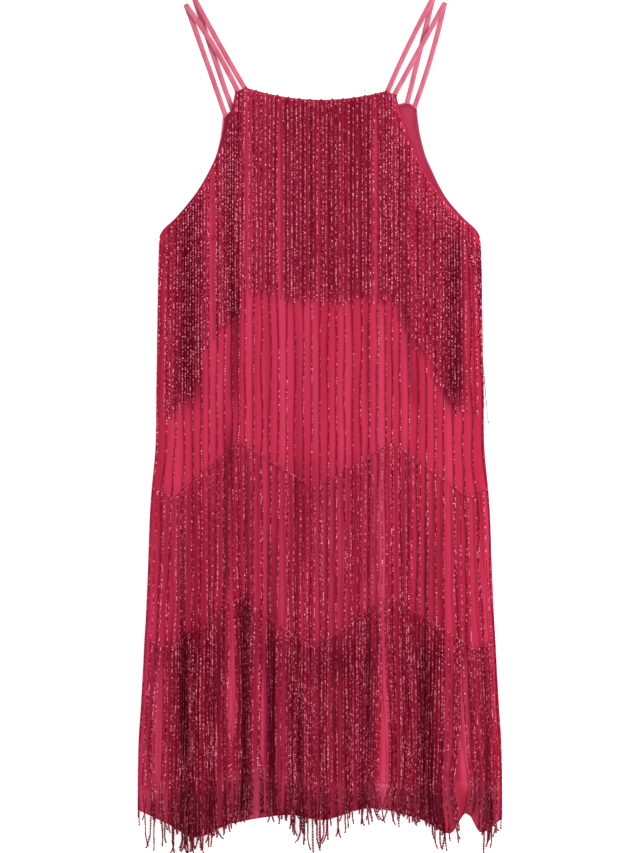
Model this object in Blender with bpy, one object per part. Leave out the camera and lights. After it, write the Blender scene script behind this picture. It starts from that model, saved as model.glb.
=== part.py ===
"""Tassel mini dress laid flat on its back: sheer shell and lining, rouleau straps, and tiers of fringe.

+X is to the right as the front is seen, +Y runs up the dress to the straps, and +Z is up from the
surface that it lies on. The origin is the middle of the dress, on that surface.
"""

import bisect
import math
import random

import bpy

MM = 0.001

# Cloth: each layer is one wall, and the layers lie on each other with a seam's gap between them.
# The shell comes down to the back over SIDE_FALL at the side seams, and over HEM_FALL past the lining.
CLOTH = 1.0 * MM
SEAM = 0.3 * MM
LAYER = CLOTH + SEAM
LINING_INSET = 2.5 * MM
LINING_CLEAR = 3 * MM
SIDE_FALL = 10 * MM
SEAM_LAP = 2 * MM
HEM_FALL = 17 * MM
HEM_FOLD_SHARE = 0.4

# Heights of the pattern, from the middle of the dress.
FRONT_CORNER = 395 * MM
BACK_CORNER = 373.5 * MM
NECK_FADE = 45 * MM
BODICE_END = 240 * MM
SKIRT_TOP = 226 * MM
UNDERARM = 215 * MM
HEM_MEAN = -476 * MM

# Rows of the panels' grids, in millimetres, and their columns: folds set the front's columns, with these
# between them. Lines down the skirt are upright as far out as UPRIGHT, and fan out beyond it.
FRONT_ROWS = (395, 377, 352, 322, 292, 262, 240, 226, 200, 90, -20, -90, -150, -212, -272, -332, -390)
BACK_ROWS = (373.5, 350, 320, 298, 282, 262, 240, 226, 190, -20, -92, -212, -392)
COLUMNS_BETWEEN = (-165, -125, -45, 56, 105, 125, 148)
COLUMN_GAP = 3.5 * MM
BACK_COLUMNS = 25
UPRIGHT = 150 * MM

# The front lies a little to the left and turned clockwise, and the back is turned the other way.
FRONT_LEAN = -5 * MM
FRONT_TILT = -0.025
BACK_TILT = 0.045

# Neckline: the inner strap's place, the scoop between the straps and the rise at them.
FRONT_NECK_HALF = 84 * MM
FRONT_SCOOP = 12.5 * MM
FRONT_NECK_LOW = 388 * MM
BACK_NECK_HALF = 105 * MM
BACK_SCOOP = 11.5 * MM
BACK_NECK_LOW = 370 * MM

# Panel edges, in millimetres. Columns: height, half width.
SIDE_SEAM = (
    (215, 193),
    (60, 196),
    (-20, 197),
    (-92, 203),
    (-212, 208),
    (-332, 214.5),
    (-392, 218),
    (-500, 219),
)
FRONT_ARMHOLE = (
    (403, 94),
    (395, 96.2),
    (381, 99.2),
    (363, 105),
    (337, 113.5),
    (310, 125.5),
    (280, 143),
    (261, 158),
    (243, 174.6),
    (231, 188),
    (223, 192),
)
BACK_ARMHOLE = (
    (382, 115),
    (373.5, 116),
    (350, 118.8),
    (320, 126),
    (298, 135.6),
    (282, 143.4),
    (266, 153.5),
    (243, 174.6),
    (231, 188),
    (223, 192),
)

# Hems and seams across the dress, in millimetres. Columns: place across, height.
SHELL_HEM = (
    (-220, -462),
    (-182, -480),
    (-150, -496),
    (-105, -479),
    (-36, -469),
    (0, -475),
    (60, -461),
    (120, -474),
    (156, -491),
    (176, -466),
    (193, -490),
    (220, -472),
)
LINING_HEM = (
    (-220, -437),
    (-190, -440),
    (-153, -431),
    (-69, -412),
    (-25, -424),
    (12, -431.5),
    (80, -431.5),
    (175, -428.5),
    (220, -434),
)
UPPER_CHEVRON = (
    (-206, -76),
    (-173.6, -90),
    (-96, -22),
    (-4.4, -79),
    (88.2, -23),
    (179.6, -89),
    (206, -76),
)
LOWER_CHEVRON = (
    (-211, -258),
    (-179, -269),
    (-96, -208),
    (-7.8, -269.5),
    (86.2, -207.5),
    (186.6, -271),
    (211, -257),
)
TIP_LINE = (
    (-220, -488),
    (-178, -509),
    (-135, -503),
    (-66, -476),
    (-9, -505),
    (60, -474),
    (120, -486),
    (142, -508),
    (168, -486),
    (194, -511),
    (220, -494),
)

# Folds of the front that push the fringe apart, in millimetres. A gap fades out to the side of its fold,
# over GAP_SPREAD times its own width.
# Columns: crest's place at the hem, half width, rise, height where it starts, where it is full, gap.
FOLDS = (
    (-194, 9, 1.2, -90, -332, 2.6),
    (-141, 9, 0.8, -90, -212, 1.8),
    (-105, 11, 2.6, 90, -332, 4.2),
    (-68, 10, 2.0, -150, -332, 3.2),
    (-20, 9, 0.8, -150, -212, 1.6),
    (12, 9, 1.0, -332, -390, 2.0),
    (32, 9, 0.8, -150, -212, 1.6),
    (81, 12, 2.8, 90, -390, 5.4),
    (173, 13, 2.6, -272, -390, 7.5),
    (197, 9, 1.0, -90, -390, 2.4),
)

GAP_SPREAD = 2.2

# Fringe: three-sided strands on a strip. Each trim lies at a level of its own above the shell.
STRAND_WIDTH = 1.8 * MM
STRAND_RISE = 1.3 * MM
STRAND_CLEARANCE = 0.5 * MM
TIP_SHARE = 0.45
LEVEL_STEP = 1.9 * MM
STRIP_WIDTH = 3.0 * MM
STRIP_INSET = 1.0 * MM
TRIM_HALF = 188 * MM
LONG_STRANDS = 38
LONG_PITCH = 10 * MM
BIB_PITCH = 7.0 * MM
BIB_STEP_ACROSS = 2.5 * MM
BIB_LENGTH = 240 * MM
# Columns: name, line, half its width and its strands' pitch in millimetres, level.
CHEVRON_TRIMS = (
    ("upper_chevron_fringe", UPPER_CHEVRON, 198, 10, 1),
    ("lower_chevron_fringe", LOWER_CHEVRON, 205, 5, 2),
)
PATH_STEP = 20 * MM
PATH_TOLERANCE = 0.15 * MM
HEM_CLEARANCE = 2.0 * MM
HEM_DROP = 14 * MM
SEED = 7

# Straps: a flattened rouleau that runs from the back over a fold at the top to the front.
STRAP_WIDTH = 5.0 * MM
STRAP_THICKNESS = 1.8 * MM
STRAP_FLAT = 0.62
STRAP_SIDE = 0.40
STRAP_GAP = 0.35 * MM
MEET_STEPS = 8
BACK_LEG_LEVEL = 1.1 * MM
FRONT_LEG_LEVEL = 3.9 * MM
LEG_PARTS = (0.0, 0.2, 0.4, 0.6, 0.8)
FOLD_STEPS = 6
# Its end in four quads side by side, by the places of their corners in strap_section, so that it bends
# with the edge that it is sewn to.
STRAP_CAP = ((1, 2, 3, 4), (0, 1, 4, 5), (9, 0, 5, 6), (8, 9, 6, 7))
# Columns, in millimetres: name, back end x, back leg's bow, fold x, y, front end x, front leg's bow.
STRAPS = (
    ("strap_left_outer", -113.5, 0.5, -160.3, 501.6, -98.0, 3.0),
    ("strap_left_inner", -105.0, -0.5, -150.6, 510.4, -88.8, -0.8),
    ("strap_right_inner", 105.0, 0.0, 135.6, 510.4, 80.6, -1.5),
    ("strap_right_outer", 113.5, 2.4, 149.3, 503.6, 90.0, 0.0),
)

# Columns: colour, roughness.
CHIFFON = ((0.50, 0.030, 0.078, 1.0), 0.6)
LINING = ((0.58, 0.047, 0.107, 1.0), 0.5)
SATIN = ((0.69, 0.144, 0.227, 1.0), 0.4)
BEADS = ((0.22, 0.008, 0.030, 1.0), 0.3)


def through(rows):
    """A smooth line through rows of place and value, in millimetres, that never overshoots them."""
    rows = sorted((place * MM, value * MM) for place, value in rows)
    at = [row[0] for row in rows]
    value = [row[1] for row in rows]
    rise = [(value[i + 1] - value[i]) / (at[i + 1] - at[i]) for i in range(len(at) - 1)]
    inner = [0.0 if a * b <= 0 else 2 * a * b / (a + b) for a, b in zip(rise, rise[1:])]
    slope = [rise[0], *inner, rise[-1]]

    def read(place):
        place = min(max(place, at[0]), at[-1])
        i = min(max(bisect.bisect_right(at, place) - 1, 0), len(at) - 2)
        step = at[i + 1] - at[i]
        t = (place - at[i]) / step
        start = (2 * t**3 - 3 * t**2 + 1) * value[i] + (t**3 - 2 * t**2 + t) * step * slope[i]
        end = (3 * t**2 - 2 * t**3) * value[i + 1] + (t**3 - t**2) * step * slope[i + 1]
        return start + end

    return read


def straight(rows):
    """A line of straight stretches through rows of place and value, in millimetres."""
    at = [place * MM for place, _ in rows]
    value = [height * MM for _, height in rows]

    def read(place):
        i = min(max(bisect.bisect_right(at, place) - 1, 0), len(at) - 2)
        t = min(max((place - at[i]) / (at[i + 1] - at[i]), 0.0), 1.0)
        return value[i] + (value[i + 1] - value[i]) * t

    return read


def share(value, start, end):
    """How far value has gone from start to end, held between 0 and 1."""
    return min(max((value - start) / (end - start), 0.0), 1.0)


front_half = through(FRONT_ARMHOLE + SIDE_SEAM)
back_half = through(BACK_ARMHOLE + SIDE_SEAM)
shell_hem = through(SHELL_HEM)
lining_hem = through(LINING_HEM)
tip_line = through(TIP_LINE)
HEM_HALF = front_half(HEM_MEAN) - SIDE_FALL


def neck_height(x, half, low, scoop, corner, corner_half):
    """The top edge: a shallow scoop between the straps, then a slope down to the corner."""
    if abs(x) <= half:
        return low + scoop * (x / half) ** 2
    return low + scoop + (corner - low - scoop) * share(abs(x), half, corner_half)


def front_neck(x):
    return neck_height(
        x, FRONT_NECK_HALF, FRONT_NECK_LOW, FRONT_SCOOP, FRONT_CORNER, front_half(FRONT_CORNER)
    )


def back_neck(x):
    return neck_height(
        x, BACK_NECK_HALF, BACK_NECK_LOW, BACK_SCOOP, BACK_CORNER, back_half(BACK_CORNER)
    )


def lay_front(x, y):
    """Where a point of the front's pattern lies once the bodice has leaned and turned."""
    part = share(y, UNDERARM, FRONT_CORNER)
    return x + FRONT_LEAN * part, y + FRONT_TILT * x * part


def lay_back(x, y):
    return x, y + BACK_TILT * x * share(y, UNDERARM, BACK_CORNER)


def fanned(hem_x, edge):
    """Where a line down the cloth, hem_x across at the hem, runs where the sides are edge across."""
    if abs(hem_x) <= UPRIGHT:
        return hem_x
    part = (abs(hem_x) - UPRIGHT) / (HEM_HALF - UPRIGHT)
    return math.copysign(UPRIGHT + (edge - UPRIGHT) * part, hem_x)


def unfanned(x, edge):
    """The place at the hem of the line down the cloth that passes x where the sides are edge across."""
    if abs(x) <= UPRIGHT:
        return x
    part = (abs(x) - UPRIGHT) / (edge - UPRIGHT)
    return math.copysign(UPRIGHT + (HEM_HALF - UPRIGHT) * part, x)


def skirt_edge(y):
    """How far across the side falls begin at a height, from the underarm down."""
    return front_half(min(y, UNDERARM)) - SIDE_FALL


def fold_rise(x, y):
    """How far the front's folds lift the cloth."""
    hem_x = unfanned(x, skirt_edge(y))
    total = 0.0
    for crest, half_width, rise, start, full, _ in FOLDS:
        ridge = max(0.0, 1 - abs(hem_x - crest * MM) / (half_width * MM))
        total += rise * MM * ridge * share(y, start * MM, full * MM)
    return total


def shell_floor(x, y):
    """The underside of the front shell: over three layers, and down to one at side seams and hem."""
    below_lining = share(y, past_lining(x), down_at_hem(x))
    beside_lining = share(abs(x), front_half(y) - SIDE_FALL, front_half(y) - SEAM_LAP)
    beside_lining *= share(y, UNDERARM + SIDE_FALL, UNDERARM - SIDE_FALL)
    layers = 3 - 2 * max(below_lining, beside_lining)
    return layers * LAYER + fold_rise(x, y) * (1 - (1 - HEM_FOLD_SHARE) * below_lining)


def past_lining(x):
    """Where the shell starts to come down below the lining's hem."""
    return lining_hem(x) - LINING_CLEAR


def down_at_hem(x):
    """Where the shell has come down to the back."""
    return past_lining(x) - HEM_FALL


def front_columns():
    """Places across the hem, from -1 to 1, that hold every fold's crest and feet."""
    places = {x * MM / HEM_HALF for x in COLUMNS_BETWEEN}
    for crest, half_width, *_ in FOLDS:
        places.update((crest + side * half_width) * MM / HEM_HALF for side in (-1, 0, 1))
    kept = [-1.0]
    for place in sorted(places):
        if place - kept[-1] > COLUMN_GAP / HEM_HALF and 1.0 - place > COLUMN_GAP / HEM_HALF:
            kept.append(place)
    return [*kept, 1.0]


def row_across(columns, width, height, lining):
    """Places across a panel at a height, where the shell is width wide to each side."""
    in_skirt = share(height, BODICE_END, SKIRT_TOP)
    edge = width - SIDE_FALL
    if lining:
        edge = width - LINING_INSET - (SIDE_FALL - LINING_INSET) * in_skirt
    if in_skirt < 1.0:
        inner = [place * edge for place in columns]
    else:
        inner = [fanned(place * HEM_HALF, edge) for place in columns]
    return inner if lining else [-width, SEAM_LAP - width, *inner, width - SEAM_LAP, width]


def panel_grid(columns, heights, lines, half, neck, lay, lining=False):
    """Rows of (x, y) points of a panel: down the heights from its neckline, then along lines(x)."""
    heights = [height * MM for height in heights]
    corner = heights[0]
    inset = LINING_INSET if lining else 0.0
    rows = []
    for height in heights:
        neck_part = 1 - share(corner - height, 0, NECK_FADE)
        row = []
        for x in row_across(columns, half(height), height, lining):
            y = height + (neck(x) - corner - inset) * neck_part
            row.append(lay(x, y))
        rows.append(row)
    for line in lines:
        places = row_across(columns, half(HEM_MEAN), HEM_MEAN, lining)
        rows.append([lay(x, line(x)) for x in places])
    return rows


def wall(grid, underside):
    """Points and triangles of a closed cloth wall over a grid, underside(x, y) above the surface."""
    count = len(grid[0])
    points = [(x, y, underside(x, y) + CLOTH) for row in grid for x, y in row]
    points += [(x, y, underside(x, y)) for row in grid for x, y in row]
    below = len(points) // 2
    faces = []
    for j in range(len(grid) - 1):
        for i in range(count - 1):
            a, b = j * count + i, (j + 1) * count + i
            faces += [(a, b, b + 1), (a, b + 1, a + 1)]
            faces += [(below + a, below + b + 1, below + b), (below + a, below + a + 1, below + b + 1)]
    top = list(range(count))
    right = [j * count + count - 1 for j in range(len(grid))]
    bottom = [(len(grid) - 1) * count + i for i in reversed(range(count))]
    left = [j * count for j in reversed(range(len(grid)))]
    for edge in (top, right, bottom, left):
        for a, b in zip(edge, edge[1:]):
            faces += [(a, b, below + b), (a, below + b, below + a)]
    return points, faces


def along(row):
    """The height of a row of a panel's grid, at a place across."""
    return straight([(x / MM, y / MM) for x, y in row])


FOLDED = front_columns()
PLAIN = [2 * i / (BACK_COLUMNS - 1) - 1 for i in range(BACK_COLUMNS)]
FRONT_LINES = (past_lining, down_at_hem, shell_hem)
FRONT_GRID = panel_grid(FOLDED, FRONT_ROWS, FRONT_LINES, front_half, front_neck, lay_front)
BACK_GRID = panel_grid(PLAIN, BACK_ROWS, (shell_hem,), back_half, back_neck, lay_back)
FRONT_HEM = along(FRONT_GRID[-1])


def add_piece(name, points, faces, finish):
    """One named object with its own material."""
    colour, roughness = finish
    mesh = bpy.data.meshes.new(name)
    mesh.from_pydata(points, [], faces)
    mesh.validate()
    material = bpy.data.materials.new(name)
    material.use_nodes = True
    surface = material.node_tree.nodes["Principled BSDF"]
    surface.inputs["Base Color"].default_value = colour
    surface.inputs["Roughness"].default_value = roughness
    surface.inputs["Metallic"].default_value = 0.0
    mesh.materials.append(material)
    piece = bpy.data.objects.new(name, mesh)
    bpy.context.scene.collection.objects.link(piece)
    return piece


def lining_grid(columns, rows, half, neck, lay):
    return panel_grid(columns, rows, (lining_hem,), half, neck, lay, lining=True)


def add_cloth():
    """The four panels, from the back shell on the surface up to the front shell."""
    back_lining = lining_grid(PLAIN, BACK_ROWS, back_half, back_neck, lay_back)
    front_lining = lining_grid(FOLDED, FRONT_ROWS, front_half, front_neck, lay_front)
    add_piece("back_shell", *wall(BACK_GRID, lambda x, y: 0.0), CHIFFON)
    add_piece("back_lining", *wall(back_lining, lambda x, y: LAYER), LINING)
    add_piece("front_lining", *wall(front_lining, lambda x, y: 2 * LAYER + fold_rise(x, y)), LINING)
    add_piece("front_shell", *wall(FRONT_GRID, shell_floor), CHIFFON)


def parted(x, y, root):
    """Where a strand that is rooted at x and the height root runs at y, off the crests of the folds."""
    hem_x = unfanned(x, skirt_edge(root))
    moved = fanned(hem_x, skirt_edge(y))
    for crest, _, _, start, full, gap in FOLDS:
        opened = share(y, start * MM, full * MM) - share(root, start * MM, full * MM)
        away = hem_x - crest * MM
        push = gap * MM * math.exp(-abs(away) / (GAP_SPREAD * gap * MM))
        moved += math.copysign(push, away) * opened
    return moved


def resting_height(x, y, level):
    """The underside of a strand at its level over the shell."""
    places = (x - STRAND_WIDTH, x, x + STRAND_WIDTH)
    highest = max(shell_floor(place, max(y, FRONT_HEM(place))) for place in places)
    return highest + CLOTH + STRAND_CLEARANCE + level * LEVEL_STEP


def strand_path(x, root, tip, level):
    """Points down a strand, from its root over the cloth and past the hem to its tip."""
    across = parted(x, tip, root)
    hem = min(FRONT_HEM(across + offset) for offset in (-STRAND_WIDTH, 0, STRAND_WIDTH))
    hem -= HEM_CLEARANCE
    end = max(tip, hem)
    steps = max(1, round((root - end) / PATH_STEP))
    heights = [root + (end - root) * step / steps for step in range(steps + 1)]
    heights += [y for y in (past_lining(across), down_at_hem(across)) if end + MM < y < root - MM]
    path = []
    for y in sorted(heights, reverse=True):
        across = parted(x, y, root)
        path.append((across, y, resting_height(across, y, level)))
    path = thinned(path, PATH_TOLERANCE)
    if tip < hem - HEM_DROP:
        floor = STRAND_CLEARANCE + level * LEVEL_STEP
        path.append((across, hem - HEM_DROP, floor))
        path.append((across, tip, floor))
    return path


def thinned(path, within):
    """The path without the points that lie this near the straight line past them."""
    if len(path) < 3:
        return path
    (ax, ay, az), (bx, by, bz) = path[0], path[-1]
    far, worst = 0, 0.0
    for i in range(1, len(path) - 1):
        x, y, z = path[i]
        t = (y - ay) / (by - ay)
        off = max(abs(ax + (bx - ax) * t - x), abs(az + (bz - az) * t - z))
        if off > worst:
            far, worst = i, off
    if worst <= within:
        return [path[0], path[-1]]
    return thinned(path[: far + 1], within)[:-1] + thinned(path[far:], within)


def fringe(strands, line, normal_at):
    """Points and triangles of a strip with strands fused along its lower edge.

    strands is a list of (x, path), and line(x) is the strip's lower edge once laid.
    """
    points, faces, roots = [], [], []
    half = STRAND_WIDTH / 2
    for x, path in strands:
        root = len(points)
        roots.append(root)
        nx, ny = normal_at(x)
        (px, py, pz), rest = path[0], path[1:]
        points += [(*line(x - half), pz), (*line(x + half), pz), (px, py, pz + STRAND_RISE)]
        points.append((px + nx * STRIP_WIDTH, py + ny * STRIP_WIDTH, pz))
        a, b, m = root, root + 1, root + 2
        for step, (px, py, pz) in enumerate(rest, 1):
            size = TIP_SHARE if step == len(rest) else 1.0
            low = len(points)
            points += [(px - half * size, py, pz), (px + half * size, py, pz)]
            points.append((px, py, pz + STRAND_RISE * size))
            faces += [(a, low + 1, low), (a, b, low + 1)]
            faces += [(b, low + 2, low + 1), (b, m, low + 2)]
            faces += [(m, low, low + 2), (m, a, low)]
            a, b, m = low, low + 1, low + 2
        faces += [(a, b, m), (root + 3, root + 1, root)]
    for i, j in zip(roots, roots[1:]):
        faces += [(i + 1, j, j + 2), (i + 1, j + 2, i + 2)]
        faces += [(i + 2, j + 2, j + 3), (i + 2, j + 3, i + 3)]
        faces += [(i + 3, j + 3, j), (i + 3, j, i + 1)]
    first, last = roots[0], roots[-1]
    faces += [(first, first + 2, first + 3), (last + 1, last + 3, last + 2)]
    return points, faces


def top_edge(x):
    """The front's neckline and armholes as one line across, in the pattern: the height at x."""
    corner_half = front_half(FRONT_CORNER)
    if abs(x) <= corner_half:
        return front_neck(x)
    low, high = UNDERARM, FRONT_CORNER
    for _ in range(40):
        middle = (low + high) / 2
        if front_half(middle) > abs(x):
            low = middle
        else:
            high = middle
    return low


def normal_of(edge, x):
    """The unit normal of a line across the dress, pointing up and out."""
    step = 0.5 * MM
    slope = (edge(x + step) - edge(x - step)) / (2 * step)
    length = math.hypot(1.0, slope)
    return -slope / length, 1.0 / length


def edge_places(pitch, least):
    """Places across the top edge a pitch apart along it, but at least so far apart across it."""
    fine_step = 0.1 * MM
    fine = [i * fine_step for i in range(int(TRIM_HALF / fine_step) + 1)]
    walked, left, last = 0.0, pitch / 2, 0.0
    places = []
    for a, b in zip(fine, fine[1:]):
        walked += math.hypot(b - a, top_edge(b) - top_edge(a))
        if walked >= left and b - last >= least:
            places.append(b)
            left, last = walked + pitch, b
    return [-x for x in reversed(places)] + places


def edge_line(x):
    """The lower edge of the trims at the front's top edge, once laid."""
    nx, ny = normal_of(top_edge, x)
    inset = STRIP_WIDTH + STRIP_INSET
    return lay_front(x - nx * inset, top_edge(x) - ny * inset)


def add_edge_trim(name, places, level, tip_of):
    """A trim along the neckline and both armholes, whose strands end at tip_of(x, root)."""
    strands = []
    for x in places:
        root_x, root = edge_line(x)
        strands.append((x, strand_path(root_x, root, tip_of(root_x, root), level)))
    add_piece(name, *fringe(strands, edge_line, lambda x: normal_of(top_edge, x)), BEADS)


def add_chevron_trim(name, rows, half, pitch, level, tip_of):
    """A trim along a zigzag across the skirt."""
    chevron = straight(rows)
    count = 2 * half // pitch
    strands = []
    for i in range(count):
        x = ((i + 0.5) * pitch - half) * MM
        strands.append((x, strand_path(x, chevron(x), tip_of(x), level)))
    mesh = fringe(strands, lambda x: (x, chevron(x)), lambda x: normal_of(chevron, x))
    add_piece(name, *mesh, BEADS)


def add_fringe():
    """The four trims: long strands and bib at the top edge, and one at each chevron."""
    chance = random.Random(SEED)

    def to_hem(x, root=None):
        return tip_line(x) + chance.uniform(-9, 6) * MM

    def to_bib(x, root):
        return root - BIB_LENGTH + chance.uniform(-8, 8) * MM

    long_places = [(i - (LONG_STRANDS - 1) / 2) * LONG_PITCH for i in range(LONG_STRANDS)]
    add_edge_trim("long_strands", long_places, 0, to_hem)
    add_edge_trim("bib_fringe", edge_places(BIB_PITCH, BIB_STEP_ACROSS), 1, to_bib)
    for name, rows, half, pitch, level in CHEVRON_TRIMS:
        add_chevron_trim(name, rows, half, pitch, level, to_hem)


def leg(end, fold, bow, level, flip):
    """Points from a strap's end up to its fold, bowed to the right, each with its heading and turn."""
    length = math.dist(end, fold)
    ux, uy = (fold[0] - end[0]) / length, (fold[1] - end[1]) / length
    points = []
    for part in LEG_PARTS:
        off = bow * 4 * part * (1 - part)
        lean = bow * 4 * (1 - 2 * part) / length
        x = end[0] + (fold[0] - end[0]) * part + uy * off
        y = end[1] + (fold[1] - end[1]) * part - ux * off
        points.append((x, y, level, (ux + uy * lean, uy - ux * lean), flip))
    return points


def strap_path(back, back_bow, fold, front, front_bow):
    """Centre points, headings and turns of a strap: back leg, a half turn at the fold, front leg."""
    radius = (FRONT_LEG_LEVEL - BACK_LEG_LEVEL) / 2
    middle = (FRONT_LEG_LEVEL + BACK_LEG_LEVEL) / 2
    up = leg(back, fold, back_bow, BACK_LEG_LEVEL, 0.0)
    down = leg(front, fold, front_bow, FRONT_LEG_LEVEL, math.pi)
    (ax, ay), (bx, by) = up[-1][3], down[-1][3]
    turns = []
    for step in range(FOLD_STEPS + 1):
        part = step / FOLD_STEPS
        hx, hy = ax + (bx - ax) * part, ay + (by - ay) * part
        reach = radius * math.sin(math.pi * part)
        z = middle - radius * math.cos(math.pi * part)
        turns.append((fold[0] + hx * reach, fold[1] + hy * reach, z, (hx, hy), math.pi * part))
    return [*up, *turns, *reversed(down)]


def strap_section():
    """Ten points round a flattened rouleau, across and through it."""
    w, t = STRAP_WIDTH / 2, STRAP_THICKNESS / 2
    flat, side = STRAP_FLAT * w, STRAP_SIDE * t
    half = [(0, -t), (flat, -t), (w, -side), (w, side), (flat, t)]
    return half + [(-across, -through_it) for across, through_it in half]


def met(x, y, hx, hy, edge):
    """The point moved along its heading until it is just above the edge of the cloth."""
    for _ in range(MEET_STEPS):
        step = (max(edge(x - MM), edge(x), edge(x + MM)) + STRAP_GAP - y) / hy
        x, y = x + hx * step, y + hy * step
    return x, y


def add_straps():
    """The four straps, which end just above the front's and the back's top edge."""
    front_edge, back_edge = along(FRONT_GRID[0]), along(BACK_GRID[0])
    for name, back_x, back_bow, fold_x, fold_y, front_x, front_bow in STRAPS:
        back = (back_x * MM, back_edge(back_x * MM))
        front = (front_x * MM, front_edge(front_x * MM))
        path = strap_path(back, back_bow * MM, (fold_x * MM, fold_y * MM), front, front_bow * MM)
        edges = {0: back_edge, len(path) - 1: front_edge}
        section = strap_section()
        points, faces = [], []
        for step, (x, y, z, (hx, hy), turn) in enumerate(path):
            length = math.hypot(hx, hy)
            hx, hy = hx / length, hy / length
            for across, through_it in section:
                out = math.sin(turn) * through_it
                px, py = x + hy * across + hx * out, y - hx * across + hy * out
                if step in edges:
                    px, py = met(px, py, hx, hy, edges[step])
                points.append((px, py, z + math.cos(turn) * through_it))
        sides = len(section)
        for ring in range(len(path) - 1):
            for k in range(sides):
                a = ring * sides + k
                b = ring * sides + (k + 1) % sides
                faces.append((a, a + sides, b + sides, b))
        last = len(points) - sides
        for corners in STRAP_CAP:
            faces.append(corners)
            faces.append(tuple(last + k for k in reversed(corners)))
        piece = add_piece(name, points, faces, SATIN)
        piece.data.shade_smooth()


def clear_scene():
    for obj in list(bpy.data.objects):
        bpy.data.objects.remove(obj)


clear_scene()
add_cloth()
add_fringe()
add_straps()
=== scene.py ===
"""Looks of the tassel mini dress: sheer cloth, straps and every strand of beads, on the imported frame.

Metres. +X is to the right as the front is seen, +Y runs up the dress to the straps, and +Z is up from
the surface that it lies on. Places in the tables are in millimetres, as in the part's source.
"""

import bisect
import math
import random

import bpy
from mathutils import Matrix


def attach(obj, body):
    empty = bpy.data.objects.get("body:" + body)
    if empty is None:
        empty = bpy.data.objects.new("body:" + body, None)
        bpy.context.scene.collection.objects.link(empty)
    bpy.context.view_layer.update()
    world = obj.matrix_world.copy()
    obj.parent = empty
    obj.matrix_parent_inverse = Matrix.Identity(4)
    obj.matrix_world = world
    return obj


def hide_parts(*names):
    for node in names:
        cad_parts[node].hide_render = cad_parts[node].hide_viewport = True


MM = 0.001

# Cloth, as in the part's source: layers of the solids, and how the front comes down to the back.
# SHEER is how thick a panel is drawn here, up against the top of its solid.
CLOTH = 1.0 * MM
SEAM = 0.3 * MM
LAYER = CLOTH + SEAM
SHEER = 0.45 * MM
FRONT_LINING_SEAMED = 1.7 * MM
BACK_LINING_SEAMED = 1.1 * MM
LINING_INSET = 0.4 * MM
LINING_CLEAR = 3 * MM
SIDE_FALL = 10 * MM
SEAM_LAP = 2 * MM
HEM_FALL = 17 * MM
HEM_FOLD_SHARE = 0.4

# Heights and widths of the pattern, and the columns and rows of the panels' meshes.
FRONT_CORNER = 395 * MM
BACK_CORNER = 373.5 * MM
NECK_FADE = 45 * MM
SKIRT_TOP = 226 * MM
UNDERARM = 215 * MM
HEM_MEAN = -476 * MM
LOWEST_ROW = -390 * MM
SIDE_COLUMNS = (0.0, 0.2, 0.45, 0.7)
FRONT_COLUMNS = 121
BACK_COLUMNS = 61
FRONT_ROW_STEP = 11 * MM
BACK_ROW_STEP = 16 * MM
UPRIGHT = 150 * MM
FRONT_LEAN = -5 * MM
FRONT_TILT = -0.025
BACK_TILT = 0.045
FRONT_NECK_HALF = 84 * MM
FRONT_SCOOP = 12.5 * MM
FRONT_NECK_LOW = 388 * MM
BACK_NECK_HALF = 105 * MM
BACK_SCOOP = 11.5 * MM
BACK_NECK_LOW = 370 * MM

# Panel edges. Columns: height, half width.
SIDE_SEAM = (
    (215, 193), (60, 196), (-20, 197), (-92, 203), (-212, 208), (-332, 214.5), (-392, 218),
    (-500, 219),
)
FRONT_ARMHOLE = (
    (403, 94), (395, 96.2), (381, 99.2), (363, 105), (337, 113.5), (310, 125.5), (280, 143),
    (261, 158), (243, 174.6), (231, 188), (223, 192),
)
BACK_ARMHOLE = (
    (382, 115), (373.5, 116), (350, 118.8), (320, 126), (298, 135.6), (282, 143.4), (266, 153.5),
    (243, 174.6), (231, 188), (223, 192),
)

# Hems and trims across the dress. Columns: place across, height.
SHELL_HEM = (
    (-220, -462), (-182, -480), (-150, -496), (-105, -479), (-36, -469), (0, -475), (60, -461),
    (120, -474), (156, -491), (176, -466), (193, -490), (220, -472),
)
LINING_HEM = (
    (-220, -437), (-190, -440), (-153, -431), (-69, -412), (-25, -424), (12, -431.5), (80, -431.5),
    (175, -428.5), (220, -434),
)
UPPER_CHEVRON = (
    (-206, -76), (-173.6, -90), (-96, -22), (-4.4, -79), (88.2, -23), (179.6, -89), (206, -76),
)
LOWER_CHEVRON = (
    (-211, -258), (-179, -269), (-96, -208), (-7.8, -269.5), (86.2, -207.5), (186.6, -271),
    (211, -257),
)

# Where strands end: the bib's over the skirt, and all others past the hem.
BIB_TIPS = (
    (-190, 4), (-174, 10), (-164, 20), (-155, 38), (-143, 60), (-137, 94), (-113, 118), (-97, 138),
    (-91, 160), (-52, 162), (-44, 154), (-34, 148), (40, 147), (60, 150), (84, 151), (91, 142),
    (101, 120), (113, 92), (127, 86), (139, 56), (151, 41), (163, 10), (190, 16),
)
HEM_TIPS = (
    (-221, -487), (-209, -484), (-203, -496), (-190, -503), (-180, -504), (-175, -513),
    (-169, -511), (-143, -508), (-126, -499), (-121, -492), (-110, -481), (-92, -470), (-50, -472),
    (-36, -482), (-29, -490), (-19, -500), (-10, -506), (5, -501), (17, -496), (30, -487),
    (43, -478), (60, -472), (130, -477), (139, -509), (142, -499), (146, -505), (158, -503),
    (164, -468), (180, -466), (191, -512), (199, -508), (203, -499), (216, -492), (221, -479),
)

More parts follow.
